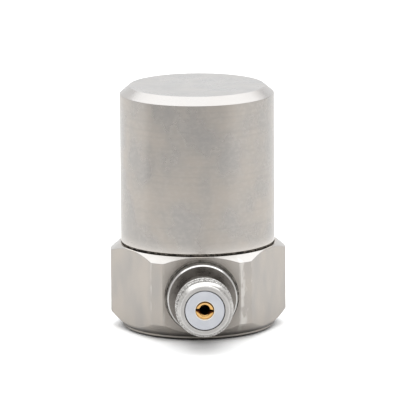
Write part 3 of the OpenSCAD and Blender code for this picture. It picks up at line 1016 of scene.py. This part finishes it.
# %% Painted edge highlights and a scuff
EDGE_HIGHLIGHT_ANGLE = math.radians(0.9)
EDGE_SHARE = 0.5
SCUFF_EDGE = FLAT_HALF_ANGLE - math.pi / 2
SCUFF_ANGLE = math.radians(8)
SCUFF_TOP_SHARE = 0.5
WEAR_AND_HIGHLIGHT_PALE = (0.58, 0.55, 0.515, 1)
RAGGED_IN_MM = 0.5
RAGGED_DRAWN_OUT = 1.6
RAGGED_CONTRAST = 2.5
RAGGED_SHARE = 0.7
PALE_FROM = 0.7
PALE_FULL = 1.1
wear_and_highlight = base_piece.data.attributes.new("edge_wear_and_highlight", "FLOAT", "POINT")
sheen_and_scuff_count = 0
for vertex, sheen_and_scuff in zip(base_piece.data.vertices, wear_and_highlight.data):
    x, y, z = vertex.co
    angle = math.atan2(y, x)
    if math.hypot(x, y) < hexagon_reach(angle) - FINE_EDGE:
        continue
    off_edge = abs(angle_from_flat(angle) - FLAT_HALF_ANGLE)
    # Painted highlight along the upright edges.
    sheen_and_scuff.value = EDGE_SHARE * max(0.0, 1 - off_edge / EDGE_HIGHLIGHT_ANGLE)
    # The scuff beside the outlet is a real mark.
    into_scuff = angle - SCUFF_EDGE
    scuff_width = SCUFF_ANGLE * (1 - (1 - SCUFF_TOP_SHARE) * z / HEXAGON_TOP)
    if 0 <= into_scuff < scuff_width:
        sheen_and_scuff.value = max(sheen_and_scuff.value, 1 - into_scuff / scuff_width)
    sheen_and_scuff_count += sheen_and_scuff.value > 0

base_tree = base_steel.node_tree
base_point = point_on_axis(base_tree, UPRIGHT)
wear_and_highlight_read = add(base_tree, "ShaderNodeAttribute", attribute_name="edge_wear_and_highlight")
ragged = haze_of(base_tree, base_point, RAGGED_IN_MM, RAGGED_DRAWN_OUT, RAGGED_CONTRAST)
torn = calc(base_tree, "MULTIPLY_ADD", ragged, RAGGED_SHARE, wear_and_highlight_read.outputs["Fac"])
# The paler tone is a painted highlight on the edges and a real scuff on one corner.
overlay(base_steel, span(base_tree, torn, PALE_FROM, PALE_FULL), WEAR_AND_HIGHLIGHT_PALE)
print("worn vertices:", sheen_and_scuff_count)

# %% [markdown]
# ## Painted shade at the foot
# Where the hexagon's lower bevel meets the foot, the metal is darkened to near black: painted
# shade for the dark gap under the foot and the shadowed paper that the bevel mirrors. A colour ramp
# over the height gives the tone from the mounting face up to the plain flat, and a second range
# over the distance from the axis leaves the mounting face and the tapped hole unshaded.

# %% Painted shade at the foot
PAINTED_SHADE_TOP = 1.0 * MM
PAINTED_SHADE_TONES = (
    (0.0, 0.1),
    (0.13, 0.2),
    (0.16, 0.88),
    (0.28, 0.88),
    (0.32, 0.3),
    (0.5, 0.5),
    (0.74, 1.0),
)
PAINTED_SHADE_EDGE = 0.05 * MM
UNSHADED_INSIDE_R = FOOT_R - FOOT_EDGE - PAINTED_SHADE_EDGE
x, y, z = parts(base_tree, base_point)
ramp = add(base_tree, "ShaderNodeValToRGB", {"Fac": calc(base_tree, "DIVIDE", z, PAINTED_SHADE_TOP)})
while len(ramp.color_ramp.elements) < len(PAINTED_SHADE_TONES):
    ramp.color_ramp.elements.new(0.5)
for stop, (height, tone) in zip(ramp.color_ramp.elements, PAINTED_SHADE_TONES):
    stop.position = height
    stop.color = (tone, tone, tone, 1)
out = distance_from_axis(base_tree, x, y)
outer = span(base_tree, out, UNSHADED_INSIDE_R, UNSHADED_INSIDE_R + PAINTED_SHADE_EDGE)
# Painted shade: the ramp darkens the foot and the lower bevel in place of the contact shadow.
overlay(base_steel, outer, ramp.outputs["Color"], "MULTIPLY")
print("painted_shade tones:", len(ramp.color_ramp.elements))

# %% [markdown]
# ## Painted highlight on the upper bevel
# The bevel above the flats faces the overhead light, and the paler, neutral grey laid on it is a
# painted highlight. A point lies on that bevel when its height and its distance from the axis add
# up to the bevel's cone, so a sum of the two finds it on every side at once.

# %% Painted highlight on the upper bevel
BEVEL_PAINTED_HIGHLIGHT = (0.458, 0.44, 0.424, 1)
CONE_FROM = HEXAGON_TOP - 0.04 * MM
CONE_FULL = HEXAGON_TOP - 0.01 * MM
on_cone = calc(base_tree, "MULTIPLY_ADD", calc(base_tree, "SUBTRACT", out, LEDGE_R), UPPER_BEVEL, z)
on_bevel = span(base_tree, on_cone, CONE_FROM, CONE_FULL, 0.0, BRIGHT_SHARE)
# Painted highlight: a paler grey on the bevel that faces the overhead light.
overlay(base_steel, on_bevel, BEVEL_PAINTED_HIGHLIGHT)
print("bevel angle in degrees:", round(math.degrees(math.atan(UPPER_BEVEL)), 1))

# %% [markdown]
# ## Heat tint and painted shade on the front flat
# Round the outlet the flat gets a darker brown tone over the base's steel: partly the faint heat
# tint of its weld, partly painted shade where the flange stands out of the flat. It fades with the
# distance from the outlet's axis and stays on the front flat.

# %% Heat tint and painted shade
TINT_AND_SHADE_BROWN = (0.22, 0.2, 0.18, 1)
TINT_MOST = 0.75
TINT_FROM = 3.2 * MM
TINT_TO = 4.6 * MM
x, y, z = parts(base_tree, point_on_axis(base_tree, TO_OUTLET))
on_front = calc(base_tree, "GREATER_THAN", z, -FINE_EDGE)
from_outlet = distance_from_axis(base_tree, x, y)
tint_and_shade_fade = span(base_tree, from_outlet, TINT_FROM, TINT_TO, TINT_MOST, 0.0)
# Partly heat tint, partly painted shade round the flange.
overlay(base_steel, calc(base_tree, "MULTIPLY", tint_and_shade_fade, on_front), TINT_AND_SHADE_BROWN)
print("heat tint reaches mm:", round(TINT_TO / MM, 1))

# %% [markdown]
# ## The outlet's shell
# The shell is one small turned piece: a flange that is welded into the flat, an undercut neck,
# and the threaded nose that a cable's coupling nut screws on. Its section has many close rows
# where the thread will be, so that the cutter above has points to move. It is made upright on the
# Z axis and then laid on the outlet's axis.

# %% Connector shell
BEAD_R = 1.2 * MM
SHELL_TAIL_R = 2.2 * MM
FLANGE_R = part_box("connector_shell")[1].x
FLANGE_REACH = 1.15 * MM
FLANGE_EDGE = 0.12 * MM
NECK_R = 2.05 * MM
THREAD_R = 2.5 * MM
THREAD_START = 3.25 * MM
THREAD_BACK = 0.2 * MM
NOSE_START = 5.05 * MM
NOSE_END = -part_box("connector_shell")[0].y - HALF_FLATS
NOSE_R = 2.14 * MM
NOSE_BORE_R = 1.77 * MM
NOSE_STEP = NOSE_END - 1.95 * MM
THREAD_ROWS = 96
BACK_ROWS = 10
NOSE_ROWS = 24
TINY_EDGE = 0.03 * MM
HAIR_EDGE = 0.012 * MM
SHELL_SIDES = 224


def rows_between(first, last, count):
    """Evenly spaced section points from one point to another, without the two ends."""
    steps = [Vector(first).lerp(Vector(last), row / count) for row in range(1, count)]
    return [(step.x, step.y, 0) for step in steps]


crest_start = (THREAD_R, THREAD_START + THREAD_BACK)
back_rows = rows_between((THREAD_R - THREAD_BACK, THREAD_START), crest_start, BACK_ROWS)
thread_rows = rows_between(crest_start, (THREAD_R, NOSE_START), THREAD_ROWS)
nose_rows = rows_between((THREAD_R, NOSE_START), (NOSE_R, NOSE_END), NOSE_ROWS)
shell_points = rounded_section([
    (BEAD_R, SHELL_END, TINY_EDGE),
    (SHELL_TAIL_R, SHELL_END, TINY_EDGE),
    (SHELL_TAIL_R, -RECESS_DEPTH, TINY_EDGE),
    (FLANGE_R, -RECESS_DEPTH, TINY_EDGE),
    (FLANGE_R, FLANGE_REACH - FLANGE_EDGE, TINY_EDGE),
    (FLANGE_R - FLANGE_EDGE, FLANGE_REACH, TINY_EDGE),
    (NECK_R, FLANGE_REACH, TINY_EDGE),
    (NECK_R, THREAD_START, TINY_EDGE),
    (THREAD_R - THREAD_BACK, THREAD_START, TINY_EDGE),
    *back_rows,
    (*crest_start, 0),
    *thread_rows,
    (THREAD_R, NOSE_START, TINY_EDGE),
    *nose_rows,
    (NOSE_R, NOSE_END, TINY_EDGE),
    (NOSE_BORE_R, NOSE_END, HAIR_EDGE),
    (NOSE_BORE_R, NOSE_STEP, TINY_EDGE),
    (BEAD_R, NOSE_STEP, TINY_EDGE),
])
shell_piece = skin("threaded_shell", lambda angle: shell_points, even_angles(SHELL_SIDES))
print("shell faces before threading:", len(shell_piece.data.polygons))

# %% [markdown]
# ## Threading the nose
# The same cutter as in the tapped hole now moves the close rows of the nose inwards, and its
# helix bites into the front chamfer a little, as a real die's does. Then the flange face and the
# smoother ring and rim take their own steels, face by face, by where they lie on the outlet's
# axis.

# %% Nose thread and steels
NOSE_LEAD_IN = 0.1 * MM
NOSE_RUN_OUT = 0.14 * MM
NOSE_START_TURN = -0.25
run_nodes(shell_piece, thread_cutter, {
    "Surface radius": THREAD_R,
    "Depth": THREAD_DEPTH,
    "Pitch": THREAD_PITCH,
    "From": THREAD_START - NOSE_LEAD_IN,
    "To": NOSE_END,
    "Run-out": NOSE_RUN_OUT,
    "Start turn": NOSE_START_TURN,
    "Inside": False,
    "Material": outlet_steel,
})
shell_piece.data.transform(ON_OUTLET)
face_outwards(shell_piece, sharp=math.pi)
# The flange face takes the darker steel, partly painted shade.
shell_piece.data.materials.append(heat_tint_and_shade_steel)
shell_piece.data.materials.append(ring_steel)
for face in shell_piece.data.polygons:
    spot = TO_OUTLET @ face.center
    out = math.hypot(spot.x, spot.y)
    if abs(spot.z - FLANGE_REACH) < TINY_EDGE and out < FLANGE_R - FLANGE_EDGE:
        face.material_index = 1
    elif spot.z > NOSE_END - TINY_EDGE and out < NOSE_R:
        face.material_index = 2
    elif abs(spot.z - FLANGE_REACH) < FLANGE_EDGE and out > FLANGE_R - FLANGE_EDGE:
        face.material_index = 2
print("shell faces:", len(shell_piece.data.polygons))

# %% [markdown]
# ## Shaded thread roots and a bright ring edge
# The roots of the thread are darkened, a painted shade for the shadow that lies in the grooves,
# and the edge of the front ring and the flange's rim get a paler tone, a painted highlight. How
# deep a point lies under the uncut nose says how dark it is, and the distance from the axis finds
# the edge. Use has also left the thread pitted, so the haze is used once more with very small
# patches: its peaks turn pale and its valleys dark, up to the front chamfer, which stays smooth.

# %% Thread and ring tones
ROOT_PAINTED_SHADE = (0.12, 0.11, 0.10, 1)
ROOT_MOST = 0.6
ROOT_FULL = 0.22 * MM
EDGE_PAINTED_HIGHLIGHT = (0.60, 0.585, 0.57, 1)
EDGE_NEAR = 0.03 * MM
EDGE_FAR = 0.1 * MM
PIT_IN_MM = 0.1
PIT_DRAWN_OUT = 1.0
PIT_CONTRAST = 4.0
PIT_MOST = 0.6
PIT_TONES = ((0.6, 0.95, (0.80, 0.79, 0.77, 1)), (0.35, 0.05, (0.1, 0.095, 0.09, 1)))
outlet_tree = outlet_steel.node_tree
on_outlet = point_on_axis(outlet_tree, TO_OUTLET)
x, y, z = parts(outlet_tree, on_outlet)
uncut = span(outlet_tree, z, NOSE_START, NOSE_END, THREAD_R, NOSE_R)
depth = calc(outlet_tree, "SUBTRACT", uncut, distance_from_axis(outlet_tree, x, y))
# Painted shade in the roots of the thread.
overlay(outlet_steel, span(outlet_tree, depth, EDGE_NEAR, ROOT_FULL, 0.0, ROOT_MOST), ROOT_PAINTED_SHADE)
pits = haze_of(outlet_tree, on_outlet, PIT_IN_MM, PIT_DRAWN_OUT, PIT_CONTRAST)
past_neck = calc(outlet_tree, "GREATER_THAN", z, THREAD_START - EDGE_FAR)
before_nose = calc(outlet_tree, "LESS_THAN", z, NOSE_START)
on_thread = calc(outlet_tree, "MULTIPLY", past_neck, before_nose)
for none, full, tone in PIT_TONES:
    pitted = span(outlet_tree, pits, none, full, 0.0, PIT_MOST)
    overlay(outlet_steel, calc(outlet_tree, "MULTIPLY", pitted, on_thread), tone)
ring_tree = ring_steel.node_tree
x, y, z = parts(ring_tree, point_on_axis(ring_tree, TO_OUTLET))
out = distance_from_axis(ring_tree, x, y)
# Painted highlight on the ring's edge and the flange's rim.
overlay(ring_steel, span(ring_tree, out, NOSE_R - EDGE_FAR, NOSE_R - EDGE_NEAR), EDGE_PAINTED_HIGHLIGHT)
print("roots are darkest from mm deep:", round(ROOT_FULL / MM, 2))

# %% [markdown]
# ## The white insulator
# A waxy white bush fills the nose around the centre contact, with a hair-thin gap outside it that
# shows as a dark ring. It is turned like the shell, as a section with a step inside. A plain
# white would look like paper, so the same marks and haze as on the steel vary its tone and its
# gloss a little.

# %% Insulator
INSULATOR_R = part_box("connector_insulator")[1].x
CONTACT_HOLE_R = 0.82 * MM
CONTACT_STEP = 2.1 * MM
CONTACT_TAIL_HOLE_R = 0.42 * MM
BEAD_FRONT = 0.85 * MM
INSULATOR_FIT = 0.02 * MM
INSULATOR_SIDES = 160
MOULDED_BUMP = 0.35


def plain_finish(name, deep, pale, smooth, rough, patch, metallic=0.0, lines=6, to_axis=UPRIGHT):
    """A moulded, fired or rolled finish, made from the same two groups as the steels."""
    material = steel(
        name, deep, pale, smooth, rough, lines, patch,
        bump=MOULDED_BUMP, to_axis=to_axis,
    )
    material.node_tree.nodes["Principled BSDF"].inputs["Metallic"].default_value = metallic
    return material


white_plastic = plain_finish(
    "white_plastic", (0.427, 0.442, 0.48), (0.485, 0.495, 0.524), 0.4, 0.52,
    patch=0.9, to_axis=TO_OUTLET,
)
insulator_points = rounded_section([
    (CONTACT_TAIL_HOLE_R, BEAD_FRONT, TINY_EDGE),
    (BEAD_R - INSULATOR_FIT, BEAD_FRONT, TINY_EDGE),
    (BEAD_R - INSULATOR_FIT, NOSE_STEP, TINY_EDGE),
    (INSULATOR_R, NOSE_STEP, TINY_EDGE),
    (INSULATOR_R, NOSE_END, HAIR_EDGE),
    (CONTACT_HOLE_R, NOSE_END, HAIR_EDGE),
    (CONTACT_HOLE_R, CONTACT_STEP, TINY_EDGE),
    (CONTACT_TAIL_HOLE_R, CONTACT_STEP, TINY_EDGE),
])
insulator_piece = skin("insulator_bush", lambda angle: insulator_points, even_angles(INSULATOR_SIDES))
insulator_piece.data.transform(ON_OUTLET)
insulator_piece.data.materials.append(white_plastic)
print("insulator faces:", len(insulator_piece.data.polygons))

# %% [markdown]
# ## Light in the bush's mouth
# Where the white plastic is thin, round the hole for the contact, light comes through it and the
# gold behind warms it. Subsurface scattering could do that, but here a paler, warmer tone is laid
# on the hole's wall instead, a painted glow that shows as a thin bright lip.

# %% Mouth of the bush
LIP_GLOW = (0.86, 0.78, 0.64, 1)
LIP_WIDTH = 0.06 * MM
plastic_tree = white_plastic.node_tree
x, y, z = parts(plastic_tree, point_on_axis(plastic_tree, TO_OUTLET))
out = distance_from_axis(plastic_tree, x, y)
on_lip = span(plastic_tree, out, CONTACT_HOLE_R + LIP_WIDTH, CONTACT_HOLE_R)
overlay(white_plastic, on_lip, LIP_GLOW)
print("bright lip at mm:", round(CONTACT_HOLE_R / MM, 2))

# %% [markdown]
# ## The gilt contact
# The centre contact is a small gold-plated socket. Its mouth is rounded to guide the pin, and a
# saw cut splits it into two springs. The turned blank has its bore in its section, and Booleans
# saw the slot and mill the flat on the tail where a lead is soldered. The bore's faces get a near
# black finish, a painted shade for the deep hole that light hardly reaches.

# %% Contact
CONTACT_R = 0.8 * MM
CONTACT_FRONT = NOSE_END - 0.25 * MM
CONTACT_BORE_R = 0.42 * MM
CONTACT_BORE_END = CONTACT_FRONT - 2.4 * MM
CONTACT_TAIL_R = 0.4 * MM
CONTACT_TAIL_END = -2.45 * MM
SLOT_WIDTH = 0.17 * MM
SLOT_END = CONTACT_FRONT - 2.1 * MM
SLOT_TURN = math.radians(-5)
TAIL_FLAT = 0.125 * MM
TAIL_FLAT_END = SHELL_END - 0.15 * MM
MOUTH_EDGE = 0.2 * MM
RIM_EDGE = 0.05 * MM
CONTACT_SIDES = 128
BORE_MARGIN = 1.05

gilt = plain_finish(
    "gilt", (0.73, 0.43, 0.15), (0.87, 0.55, 0.23), 0.16, 0.26,
    patch=0.5, metallic=1.0, lines=14, to_axis=TO_OUTLET,
)
# Painted shade: the bore's near black finish stands in for the shadow in the deep hole.
bore_painted_shade = plain_finish(
    "bore_painted_shade", (0.03, 0.018, 0.008), (0.06, 0.03, 0.012), 0.5, 0.7,
    patch=0.4, metallic=1.0, to_axis=TO_OUTLET,
)


def block_cutter(name, low, high, turn=0.0):
    """A square cutter between two corners, turned about the Z axis."""
    shell = bmesh.new()
    bmesh.ops.create_cube(shell, size=1.0)
    size = Vector(high) - Vector(low)
    middle = (Vector(high) + Vector(low)) / 2
    bmesh.ops.scale(shell, vec=size, verts=shell.verts)
    bmesh.ops.translate(shell, vec=middle, verts=shell.verts)
    bmesh.ops.rotate(shell, cent=(0, 0, 0), matrix=Matrix.Rotation(turn, 3, "Z"), verts=shell.verts)
    mesh = bpy.data.meshes.new(name)
    shell.to_mesh(mesh)
    shell.free()
    cutter = bpy.data.objects.new(name, mesh)
    bpy.context.scene.collection.objects.link(cutter)
    return cutter


contact_points = rounded_section([
    (0, CONTACT_TAIL_END, 0),
    (CONTACT_TAIL_R, CONTACT_TAIL_END, TINY_EDGE),
    (CONTACT_TAIL_R, CONTACT_STEP, TINY_EDGE),
    (CONTACT_R, CONTACT_STEP, TINY_EDGE),
    (CONTACT_R, CONTACT_FRONT, RIM_EDGE),
    (CONTACT_BORE_R, CONTACT_FRONT, MOUTH_EDGE),
    (CONTACT_BORE_R, CONTACT_BORE_END, TINY_EDGE),
    (0, CONTACT_BORE_END, 0),
])
contact_piece = skin("gilt_contact", lambda angle: contact_points, even_angles(CONTACT_SIDES))
wide = 2 * CONTACT_R
slot_cutter = block_cutter(
    "slot_cutter",
    (-wide, -SLOT_WIDTH / 2, SLOT_END),
    (wide, SLOT_WIDTH / 2, CONTACT_FRONT + OVERCUT),
    SLOT_TURN,
)
cut_away(contact_piece, slot_cutter)
flat_cutter = block_cutter(
    "flat_cutter",
    (-wide, TAIL_FLAT, CONTACT_TAIL_END - OVERCUT),
    (wide, wide, TAIL_FLAT_END),
)
cut_away(contact_piece, flat_cutter)
contact_piece.data.transform(ON_OUTLET)
contact_piece.data.materials.clear()
contact_piece.data.materials.append(gilt)
contact_piece.data.materials.append(bore_painted_shade)
for face in contact_piece.data.polygons:
    spot = TO_OUTLET @ face.center
    deep = spot.z < CONTACT_FRONT - MOUTH_EDGE and spot.z > CONTACT_STEP
    face.material_index = int(deep and math.hypot(spot.x, spot.y) < CONTACT_BORE_R * BORE_MARGIN)
face_outwards(contact_piece)
print("contact faces:", len(contact_piece.data.polygons))

# %% [markdown]
# ## Painted shade on the contact
# The gold is darkened along the saw cut, more so towards the bore, and in a crescent under the
# bush's upper lip: painted shade, where the springs' corners and the lip keep the light out. The
# crescent is what lies outside a circle that is set a little low, and the saw cut's shade is a
# wedge on both sides of the cut.

# %% Painted shade on the contact
CUT_PAINTED_SHADE = (0.065, 0.013, 0.004, 1)
LIP_SHADE = (0.10, 0.045, 0.012, 1)
LIP_DROP = 0.14 * MM
LIP_R = 0.76 * MM
CUT_SHADE_WIDTH = 0.018 * MM
BORE_SHADE_WIDTH = 0.48 * MM
WEDGE_MOST = 0.3 * MM
WEDGE_DROP = 0.09 * MM
SOFT_SHADE_EDGE = 0.05 * MM
gilt_tree = gilt.node_tree
gilt_point = point_on_axis(gilt_tree, TO_OUTLET)
along_cut = add(gilt_tree, "ShaderNodeMapping", {"Vector": gilt_point})
feed(gilt_tree, along_cut.inputs["Rotation"], (0, 0, -SLOT_TURN))
x, y, z = parts(gilt_tree, along_cut.outputs[0])
from_cut = calc(gilt_tree, "ABSOLUTE", calc(gilt_tree, "ADD", y, WEDGE_DROP))
from_bore = calc(gilt_tree, "DIVIDE", calc(gilt_tree, "ABSOLUTE", x), CONTACT_R)
wedge = calc(gilt_tree, "MULTIPLY_ADD", from_bore, -BORE_SHADE_WIDTH, CUT_SHADE_WIDTH + BORE_SHADE_WIDTH)
inside_wedge = calc(gilt_tree, "SUBTRACT", calc(gilt_tree, "MINIMUM", wedge, WEDGE_MOST), from_cut)
# Painted shade along the saw cut.
overlay(gilt, span(gilt_tree, inside_wedge, -SOFT_SHADE_EDGE, SOFT_SHADE_EDGE), CUT_PAINTED_SHADE)
x, y, z = parts(gilt_tree, gilt_point)
from_lip = distance_from_axis(gilt_tree, x, calc(gilt_tree, "ADD", y, LIP_DROP))
# Painted shadow of the bush's upper lip.
overlay(gilt, span(gilt_tree, from_lip, LIP_R - SOFT_SHADE_EDGE / 2, LIP_R + SOFT_SHADE_EDGE / 2), LIP_SHADE)
print("tones over the gilt:", CUT_PAINTED_SHADE[:3], LIP_SHADE[:3])

# %% [markdown]
# ## The welds
# Laser welds close the sensor. A pulsed laser leaves overlapping spots, so Geometry Nodes set one
# small flattened bead on each point of a circle, with a seeded spread of sizes. A ring with a
# bump texture would be lighter, but its outline would stay smooth where the beads should show.

# %% Weld beads
def build_weld_ripples():
    """Geometry Nodes that lay overlapping beads round a circle about the Z axis."""
    tree, given, result = new_tree(
        "weld_ripples",
        "GeometryNodeTree",
        {
            "Radius": "Float",
            "Height": "Float",
            "Beads": "Int",
            "Bead size": "Vector",
            "Spread": "Float",
            "Seed": "Int",
            "Material": "Material",
        },
        {"Geometry": "Geometry"},
    )
    value = given.outputs
    circle = add(tree, "GeometryNodeMeshCircle", {"Vertices": value["Beads"]})
    feed(tree, circle.inputs["Radius"], value["Radius"])
    raised = add(tree, "GeometryNodeSetPosition", {"Geometry": circle.outputs[0]})
    feed(tree, raised.inputs["Offset"], joined(tree, z=value["Height"]))
    x, y, z = parts(tree, add(tree, "GeometryNodeInputPosition").outputs[0])
    heading = calc(tree, "ARCTAN2", y, x)
    along = joined(tree, z=calc(tree, "ADD", heading, math.pi / 2))
    least = calc(tree, "SUBTRACT", 1, value["Spread"])
    most = calc(tree, "ADD", 1, value["Spread"])
    vary = add(tree, "FunctionNodeRandomValue", {"Seed": value["Seed"]}, data_type="FLOAT")
    feed(tree, vary.inputs[2], least)
    feed(tree, vary.inputs[3], most)
    size = add(tree, "ShaderNodeVectorMath", {0: value["Bead size"]}, operation="SCALE")
    feed(tree, size.inputs["Scale"], vary.outputs[1])
    bead = add(tree, "GeometryNodeMeshUVSphere", {"Segments": 8, "Rings": 6, "Radius": 0.5})
    beads = add(
        tree,
        "GeometryNodeInstanceOnPoints",
        {
            "Points": raised.outputs[0],
            "Instance": bead.outputs["Mesh"],
            "Rotation": along,
            "Scale": size.outputs[0],
        },
    )
    real = add(tree, "GeometryNodeRealizeInstances", {0: beads.outputs[0]})
    smooth = add(tree, "GeometryNodeSetShadeSmooth", {0: real.outputs[0]})
    dressed = add(tree, "GeometryNodeSetMaterial", {"Geometry": smooth.outputs[0]})
    feed(tree, dressed.inputs["Material"], value["Material"])
    tree.links.new(dressed.outputs[0], result.inputs["Geometry"])
    return tree


def weld(name, values, place):
    """One ring of weld beads, put in place."""
    mesh = bpy.data.meshes.new(name)
    piece = bpy.data.objects.new(name, mesh)
    bpy.context.scene.collection.objects.link(piece)
    run_nodes(piece, weld_ripples, values)
    piece.data.transform(place)
    return piece


weld_ripples = build_weld_ripples()
print("weld inputs:", [s.name for s in weld_ripples.interface.items_tree if s.in_out == "INPUT"])

# %% [markdown]
# ## Two rings of weld
# The cap's weld lies in the groove between the hexagon and the cap, and its heat also darkened
# the ledge beside it. The flange's weld lies in the ring round the flange. Both are darker than
# the ground steel, in patches.

# %% Welds
WELD_OUT = 0.06 * MM
LEDGE_SKIN = 0.001 * MM
weld_tint = steel(
    "weld_tint", (0.06, 0.055, 0.05), (0.30, 0.27, 0.235), 0.3, 0.5,
    lines=12, patch=0.3, contrast=3.0,
)
flange_tint = steel(
    "flange_tint", (0.13, 0.12, 0.11), (0.33, 0.31, 0.28), 0.3, 0.5,
    lines=12, patch=0.25, contrast=2.0,
)
cap_weld = weld("cap_weld", {
    "Radius": GROOVE_R + WELD_OUT,
    "Height": (HEXAGON_TOP + cap_low.z) / 2,
    "Beads": 190,
    "Bead size": (0.34 * MM, 0.36 * MM, 0.17 * MM),
    "Spread": 0.12,
    "Seed": 4,
    "Material": weld_tint,
}, UPRIGHT)
flange_weld = weld("flange_weld", {
    "Radius": (FLANGE_R + RECESS_R) / 2,
    "Height": -0.14 * MM,
    "Beads": 92,
    "Bead size": (0.36 * MM, 0.28 * MM, 0.26 * MM),
    "Spread": 0.2,
    "Seed": 9,
    "Material": flange_tint,
}, ON_OUTLET)
base_piece.data.materials.append(weld_tint)
for face in base_piece.data.polygons:
    from_middle = math.hypot(face.center.x, face.center.y)
    level = abs(face.center.z - HEXAGON_TOP) < LEDGE_SKIN
    face.material_index = int(level and GROOVE_R < from_middle < TINT_R)
print("weld faces:", len(cap_weld.data.polygons), len(flange_weld.data.polygons))

# %% [markdown]
# ## Finishes inside
# The pieces under the cap keep their CAD solids, which already have every form that shows when
# the cap is lifted. Each still gets a finish from the shared groups: fired ceramic for the
# crystals, rolled bronze for the electrode and its washers, a sintered heavy mass, green laminate
# for the board and coloured covers for the leads.

# %% Inside finishes
METAL = 1.0
PLAIN = 0.0
INSIDE_TONES = {
    "stud_steel": ((0.40, 0.40, 0.41), (0.48, 0.47, 0.46), 0.28, 0.42, 1.2, METAL),
    "bronze_foil": ((0.58, 0.34, 0.17), (0.68, 0.42, 0.22), 0.3, 0.45, 0.8, METAL),
    "piezo_ceramic": ((0.52, 0.47, 0.36), (0.62, 0.57, 0.46), 0.6, 0.8, 0.5, PLAIN),
    "heavy_metal": ((0.22, 0.22, 0.23), (0.30, 0.30, 0.30), 0.4, 0.6, 0.7, METAL),
    "spring_steel": ((0.22, 0.24, 0.30), (0.34, 0.32, 0.34), 0.25, 0.4, 0.9, METAL),
    "carrier_plastic": ((0.62, 0.54, 0.38), (0.70, 0.63, 0.47), 0.5, 0.65, 1.4, PLAIN),
    "board_laminate": ((0.02, 0.12, 0.05), (0.04, 0.19, 0.08), 0.3, 0.45, 0.9, PLAIN),
    "black_moulding": ((0.015, 0.015, 0.017), (0.03, 0.03, 0.032), 0.55, 0.7, 0.4, PLAIN),
    "capacitor_ceramic": ((0.42, 0.29, 0.17), (0.5, 0.37, 0.23), 0.5, 0.65, 0.4, PLAIN),
    "sealing_glass": ((0.05, 0.14, 0.15), (0.09, 0.2, 0.21), 0.08, 0.16, 0.5, PLAIN),
    "red_lead": ((0.42, 0.02, 0.015), (0.52, 0.04, 0.03), 0.4, 0.55, 0.6, PLAIN),
    "white_lead": ((0.66, 0.66, 0.63), (0.76, 0.76, 0.74), 0.4, 0.55, 0.6, PLAIN),
    "black_lead": ((0.015, 0.015, 0.015), (0.03, 0.03, 0.03), 0.4, 0.55, 0.6, PLAIN),
}
inside = {name: plain_finish(name, *tones) for name, tones in INSIDE_TONES.items()}
inside["white_plastic"] = white_plastic
replaced = {"base", "cap", "connector_shell", "connector_insulator", "contact_socket"}
dressed_nodes = []
for subpart in frame["record"]["subparts"]:
    node_name = subpart["node"]
    if node_name not in replaced:
        mesh = frame["nodes"][node_name].data
        mesh.materials.clear()
        mesh.materials.append(inside[subpart["material_slot"]])
        dressed_nodes.append(node_name)
print("dressed inside:", len(dressed_nodes))

# %% [markdown]
# ## Riding on the body
# Each new piece rides on the one body, and the CAD node that it stands for is hidden.

# %% Ride and replace
for piece, node_name, slot_name in (
    (base_piece, "base", "base_steel"),
    (cap_piece, "cap", "cap_steel"),
    (shell_piece, "connector_shell", "connector_steel"),
    (insulator_piece, "connector_insulator", "white_plastic"),
    (contact_piece, "contact_socket", "gilt"),
    (cap_weld, None, "base_steel"),
    (flange_weld, None, "connector_steel"),
):
    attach(piece, "root")
    if node_name:
        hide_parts(node_name)
    print(piece.name, len(piece.data.polygons), "faces")
